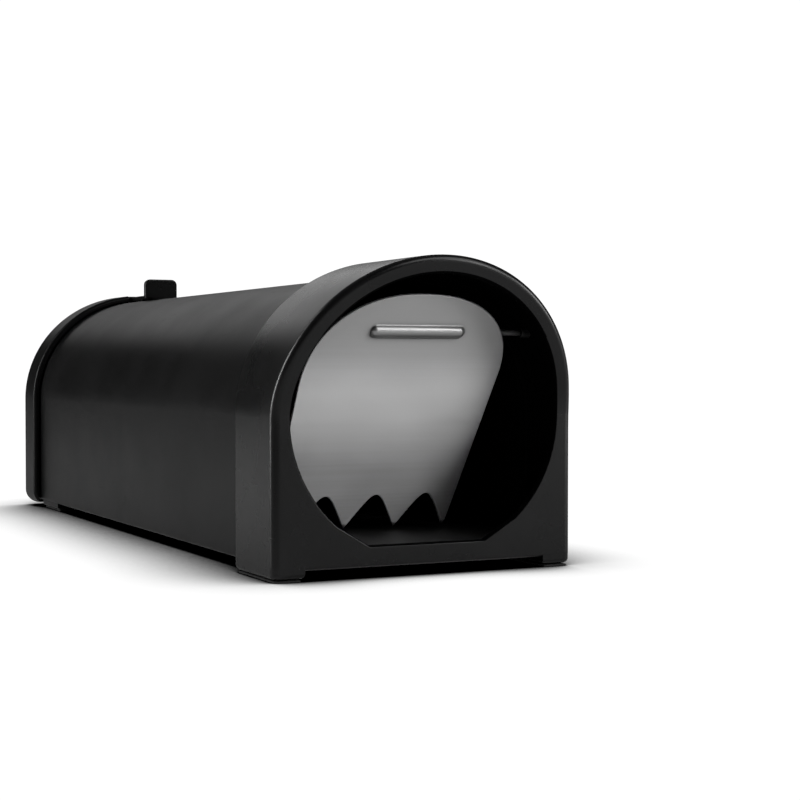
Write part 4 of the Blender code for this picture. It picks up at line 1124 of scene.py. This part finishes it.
def make_saddle():
    """Hat-section strap behind the plate, with two spot-weld dimples in each flange."""
    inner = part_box("flap_axle")[1].z - AXLE.z + STRAP_FIT
    outer = inner + SADDLE_SHEET
    front = FLAP_OFFSET - STRAP_SINK
    back = front - SADDLE_SHEET
    reach = SADDLE_REACH
    outline = [(-reach, front), (-reach, back), (-outer, back)]
    outline += list(arc((0.0, 0.0), outer, outer, pi, 2 * pi, 20))
    outline += [(outer, back), (reach, back), (reach, front), (inner, front)]
    outline += list(arc((0.0, 0.0), inner, inner, 0.0, -pi, 20))
    outline.append((-inner, front))
    matrix = flap_matrix(across=False)
    strap = prism("saddle", outline, -SADDLE_HALF, SADDLE_HALF, matrix, 0.1 * MM, 2)
    normal = (matrix.to_3x3() @ Y_AXIS).normalized()
    dimples = []
    for along in (-1, 1):
        for across in (-1, 1):
            start = matrix @ Vector((along * (reach + outer) / 2, back - 0.2 * MM,
                                     across * WELD_SHARE * SADDLE_HALF))
            dimples.append(lathe("dimple", WELD_PROFILE, start, normal, 20))
    publish(cut(strap, *dimples), "axle_saddle")


def make_axle():
    """Axle with domed ends."""
    low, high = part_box("flap_axle")
    radius = (high.z - low.z) / 2
    length = high.x - low.x
    dome = [(radius * sin(angle), radius * (1 - cos(angle)))
            for angle in (pi / 2 * index / 6 for index in range(7))]
    dome[0] = (0.04 * radius, 0.0)
    profile = dome + [(width, length - along) for width, along in reversed(dome)]
    axle = lathe("axle", profile, Vector((low.x, AXLE.y, AXLE.z)), X_AXIS, 32)
    # The axle takes the darker copy of the stainless: painted shade
    publish(axle, "flap_axle", AXLE_SHADED_STEEL)


# Rear door

def make_door():
    """Rear door: rounded cap, hollow skirt, latch housing, cup rail, knuckles and vents."""
    levels = [(tunnel_outline(DOOR_HALF - inwards, DOOR_RISE - inwards, DOOR_LOW.z + inwards,
                              DOOR_CORNER - inwards), back)
              for inwards, back in quarter(DOOR_ROUND, 7)]
    loops = [[Vector((x, DOOR_LOW.y + back, z)) for x, z in outline] for outline, back in levels]
    loops += [[Vector((x, DOOR_HIGH.y - back, z)) for x, z in outline]
              for outline, back in reversed(levels)]
    door = loft("door", loops)
    panel = DOOR_HIGH.y - DOOR_PANEL
    half = DOOR_HALF - DOOR_SKIRT
    inside = list(arc((0.0, ARCH_Z), half, DOOR_RISE - DOOR_SKIRT, 0.0, pi, ARCH_STEPS))
    inside += [(-half, -MARGIN), (half, -MARGIN)]
    cut(door, prism("hollow", inside, -panel, -DOOR_LOW.y + MARGIN, FACE_ON))
    join(door, *door_fittings(panel))
    inner, outer = DOOR_KNUCKLE_SPAN
    cut(door, centred_box(inner, HINGE.y - KNUCKLE_ROOM, DOOR_HIGH.y + 2.0 * MM, -MM,
                    HINGE.z + KNUCKLE_HEADROOM),
        centred_box(SLOT_HALF, DOOR_LOW.y - MARGIN, panel - SLOT_STOP, SLOT_LOW_Z, CLEAR_Z,
                    SLOT_ROUND),
        crossways(LATCH, -LATCH_BORE_HALF, LATCH_BORE_HALF, HOUSING_BORE), *vent_tools(panel))
    join(door, *[crossways(HINGE, side * inner, side * outer, KNUCKLE_RADIUS - 0.05 * MM,
                           KNUCKLE_CHAMFER) for side, _ in SIDES])
    cut(door, hinge_bore())
    publish(door, "rear_door")


def door_fittings(panel):
    """Latch housing and the T-section rail of the bait cup."""
    return [centred_box(HOUSING_HALF, DOOR_LOW.y + 0.8 * MM, panel + BITE, HOUSING_LOW_Z,
                        DOOR_HIGH.z - DOOR_ROUND, 0.35 * MM),
            centred_box(RAIL_NECK_HALF, panel - RAIL_NECK_REACH, panel + BITE, RAIL_LOW_Z, RAIL_TOP_Z),
            centred_box(RAIL_HEAD_HALF, panel - RAIL_HEAD_REACH[0], panel - RAIL_HEAD_REACH[1],
                        RAIL_LOW_Z, RAIL_TOP_Z, 0.3 * MM)]


def vent_tools(panel):
    """Level air slots, chamfered where they break the outer face."""
    levels = [(VENT_RADIUS + 2 * VENT_CHAMFER, DOOR_HIGH.y + VENT_CHAMFER),
              (VENT_RADIUS, DOOR_HIGH.y - VENT_CHAMFER), (VENT_RADIUS, panel - MARGIN)]
    tools = []
    for number in range(VENT_COUNT):
        centre = (0.0, VENT_FIRST_Z + VENT_PITCH * number)
        loops = [[FACE_ON @ Vector((u, v, -depth)) for u, v in
                  stadium(VENT_REACH, radius, 16, centre)] for radius, depth in levels]
        tools.append(loft("vent", loops))
    return tools


def make_lever():
    """Latch lever: eye on its pin, tongue over the crown, catch tooth and thumb tab."""
    low = SHELL_HIGH.z + LEVER_GAP
    high = low + LEVER_THICK
    tip = SHELL_HIGH.z - TOOTH_DROP
    front = LEVER_LOW.y
    catch = FACE_Y + CATCH_D
    outline = [(front, low), (catch, low), (catch + 0.5 * MM, tip), (catch + 2.2 * MM, tip),
               (catch + 3.0 * MM, low), (LATCH.y - 3.0 * MM, low),
               (LATCH.y - 0.6 * MM, LATCH.z), (LATCH.y + 1.0 * MM, LATCH.z),
               (LATCH.y + 1.0 * MM, high), (front, high)]
    lever = prism("lever", outline, -LEVER_HALF, LEVER_HALF, SIDE_ON, 0.25 * MM)
    tab = prism("tab", tab_outline(low), -front - TAB_THICK, -front, FACE_ON, 0.5 * MM, 5)
    join(lever, tab, crossways(LATCH, -LEVER_HALF, LEVER_HALF, EYE_RADIUS, 0.2 * MM))
    spring_room = rounded_box("spring_room", (0.6 * MM, LATCH.y - 3.4 * MM, 70.0 * MM),
                              (9.0 * MM, LATCH.y + 4.0 * MM, CLEAR_Z))
    cut(lever, spring_room, crossways(LATCH, -LATCH_BORE_HALF, LATCH_BORE_HALF, EYE_BORE))
    publish(lever, "latch_lever", COLLAR_BLACK)


def tab_outline(low):
    """Thumb tab from the front: a small plate with rounded corners."""
    top = LEVER_HIGH.z - TAB_CORNER
    side = TAB_HALF - TAB_CORNER
    foot = 0.3 * MM
    points = [(-TAB_HALF + foot, low), (TAB_HALF - foot, low), (TAB_HALF, low + foot)]
    points += list(arc((side, top), TAB_CORNER, TAB_CORNER, 0.0, pi / 2, 10))
    points += list(arc((-side, top), TAB_CORNER, TAB_CORNER, pi / 2, pi, 10))
    points.append((-TAB_HALF, low + foot))
    return points


def make_spring():
    """Torsion spring wound round the latch pin."""
    curve = bpy.data.curves.new("spring", "CURVE")
    curve.dimensions = "3D"
    curve.bevel_depth = SPRING_WIRE
    curve.bevel_resolution = 3
    curve.use_fill_caps = True
    spline = curve.splines.new("POLY")
    spline.points.add(int(SPRING_TURN_POINTS * SPRING_TURNS))
    for index, point in enumerate(spline.points):
        angle = 2 * pi * index / SPRING_TURN_POINTS - pi / 2
        point.co = (SPRING_START_X + SPRING_PITCH * index / SPRING_TURN_POINTS,
                    LATCH.y - SPRING_RADIUS * cos(angle),
                    LATCH.z + SPRING_RADIUS * sin(angle), 1.0)
    source = bpy.data.objects.new("spring", curve)
    bpy.context.scene.collection.objects.link(source)
    builder = bmesh.new()
    builder.from_mesh(final_mesh(source))
    bpy.data.objects.remove(source)
    bmesh.ops.remove_doubles(builder, verts=builder.verts, dist=1e-7)
    publish(new_object("spring", builder), "latch_spring")


# Bait cup

def make_cup():
    """Open cup with rounded walls, and a closed-top channel that hooks over the rail."""
    low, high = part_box("bait_cup")
    back = DOOR_HIGH.y - CUP_CLEAR
    cup = rounded_box("cup", low, (high.x, back, high.z), CUP_ROUND, 5)
    cut(cup, rounded_box("hollow", (low.x + CUP_WALL, low.y + CUP_WALL, low.z + CUP_WALL),
                         (high.x - CUP_WALL, back - CUP_WALL, high.z + MARGIN), CUP_HOLLOW_ROUND, 5))
    join(cup, centred_box(CHANNEL_HALF, back - 0.4 * MM, high.y, low.z + MM, high.z - 0.5 * MM,
                          0.3 * MM))
    bait = middle("bait_rod")
    cut(cup, centred_box(RAIL_HEAD_HALF + RAIL_FIT, back + 1.6 * MM, back + 4.4 * MM, 0.0,
                         RAIL_TOP_Z + RAIL_FIT),
        centred_box(RAIL_NECK_HALF + RAIL_FIT, back + 3.0 * MM, back + 7.0 * MM, 0.0,
                    RAIL_TOP_Z + RAIL_FIT), crossways(bait, -30.0 * MM, 30.0 * MM, ROD_BORE))
    publish(cup, "bait_cup")


# Stage

def aim(item, target):
    item.rotation_euler = (Vector(target) - item.location).to_track_quat("-Z", "Y").to_euler()


def add_softbox(name, place, target, width, height, power):
    lamp = bpy.data.lights.new(name, "AREA")
    lamp.shape = "RECTANGLE"
    lamp.size = width
    lamp.size_y = height
    lamp.energy = power
    holder = bpy.data.objects.new(name, lamp)
    bpy.context.scene.collection.objects.link(holder)
    holder.location = place
    aim(holder, target)
    holder.visible_camera = False
    return holder


def keep_off(holder, nodes):
    """Leave the looks of some nodes out of a light, which their long smooth tops would mirror."""
    left_out = bpy.data.collections.new(holder.name + "_left_out")
    for node in nodes:
        left_out.objects.link(bpy.data.objects[node + "_look"])
    for entry in left_out.collection_objects:
        entry.light_linking.link_state = "EXCLUDE"
    holder.light_linking.receiver_collection = left_out


def split_by_ray(tree, other, seen, output):
    """Send one shader to the camera's own rays, and another to all the rest."""
    path = tree.nodes.new("ShaderNodeLightPath")
    choose = tree.nodes.new("ShaderNodeMixShader")
    tree.links.new(path.outputs["Is Camera Ray"], choose.inputs[0])
    tree.links.new(other.outputs[0], choose.inputs[1])
    tree.links.new(seen.outputs[0], choose.inputs[2])
    tree.links.new(choose.outputs[0], tree.nodes[output].inputs["Surface"])


def floor_white():
    """White floor, seen evenly bright but for a painted soft shadow close under the station."""
    made = Finish("floor_white", 0.9, specular=0.1)
    made.shader.inputs["Base Color"].default_value = tone(0.93)
    # Painted shadow: the camera's view of the floor is an emission dimmed by ambient occlusion
    open_sky = made.add("ShaderNodeAmbientOcclusion", {"Distance": SHADE_REACH}, samples=24)
    shade = made.spread(open_sky.outputs["AO"], *SHADE_RANGE, 0.0, BACKDROP)
    glow = made.add("ShaderNodeEmission", {"Strength": shade})
    split_by_ray(made.tree, made.shader, glow, "Material Output")
    return made.material


def set_stage():
    """White floor, pale surround and large soft lights."""
    builder = bmesh.new()
    bmesh.ops.create_grid(builder, x_segments=1, y_segments=1, size=FLOOR_HALF)
    floor = new_object("floor", builder)
    floor.data.materials.append(floor_white())

    world = bpy.data.worlds.new("studio")
    world.use_nodes = True
    tree = world.node_tree
    sky = tree.nodes["Background"]
    seen = tree.nodes.new("ShaderNodeBackground")
    for shader, strength in ((sky, DOME), (seen, BACKDROP)):
        shader.inputs["Color"].default_value = tone(1.0)
        shader.inputs["Strength"].default_value = strength
    split_by_ray(tree, sky, seen, "World Output")
    bpy.context.scene.world = world

    for name, *settings in SOFTBOXES:
        holder = add_softbox(name, *settings)
        if name in HOOD_LIGHTS:
            keep_off(holder, LONG_TOPS)


def set_camera():
    lens = bpy.data.cameras.new("camera")
    lens.lens = CAMERA_LENS
    lens.sensor_width = 36.0
    lens.clip_start = 0.01
    camera = bpy.data.objects.new("camera", lens)
    bpy.context.scene.collection.objects.link(camera)
    level = cos(CAMERA_ELEVATION)
    back = Vector((sin(CAMERA_AZIMUTH) * level, -cos(CAMERA_AZIMUTH) * level,
                   sin(CAMERA_ELEVATION)))
    camera.location = CAMERA_AIM + back * CAMERA_DISTANCE
    aim(camera, CAMERA_AIM)
    bpy.context.scene.camera = camera


make_collar()
make_shell()
make_tray()
make_pads()
make_screws()
make_pins()
make_bushes()
make_flap()
make_saddle()
make_axle()
make_door()
make_lever()
make_spring()
make_cup()
set_stage()
set_camera()
bpy.context.scene.view_settings.view_transform = "Standard"
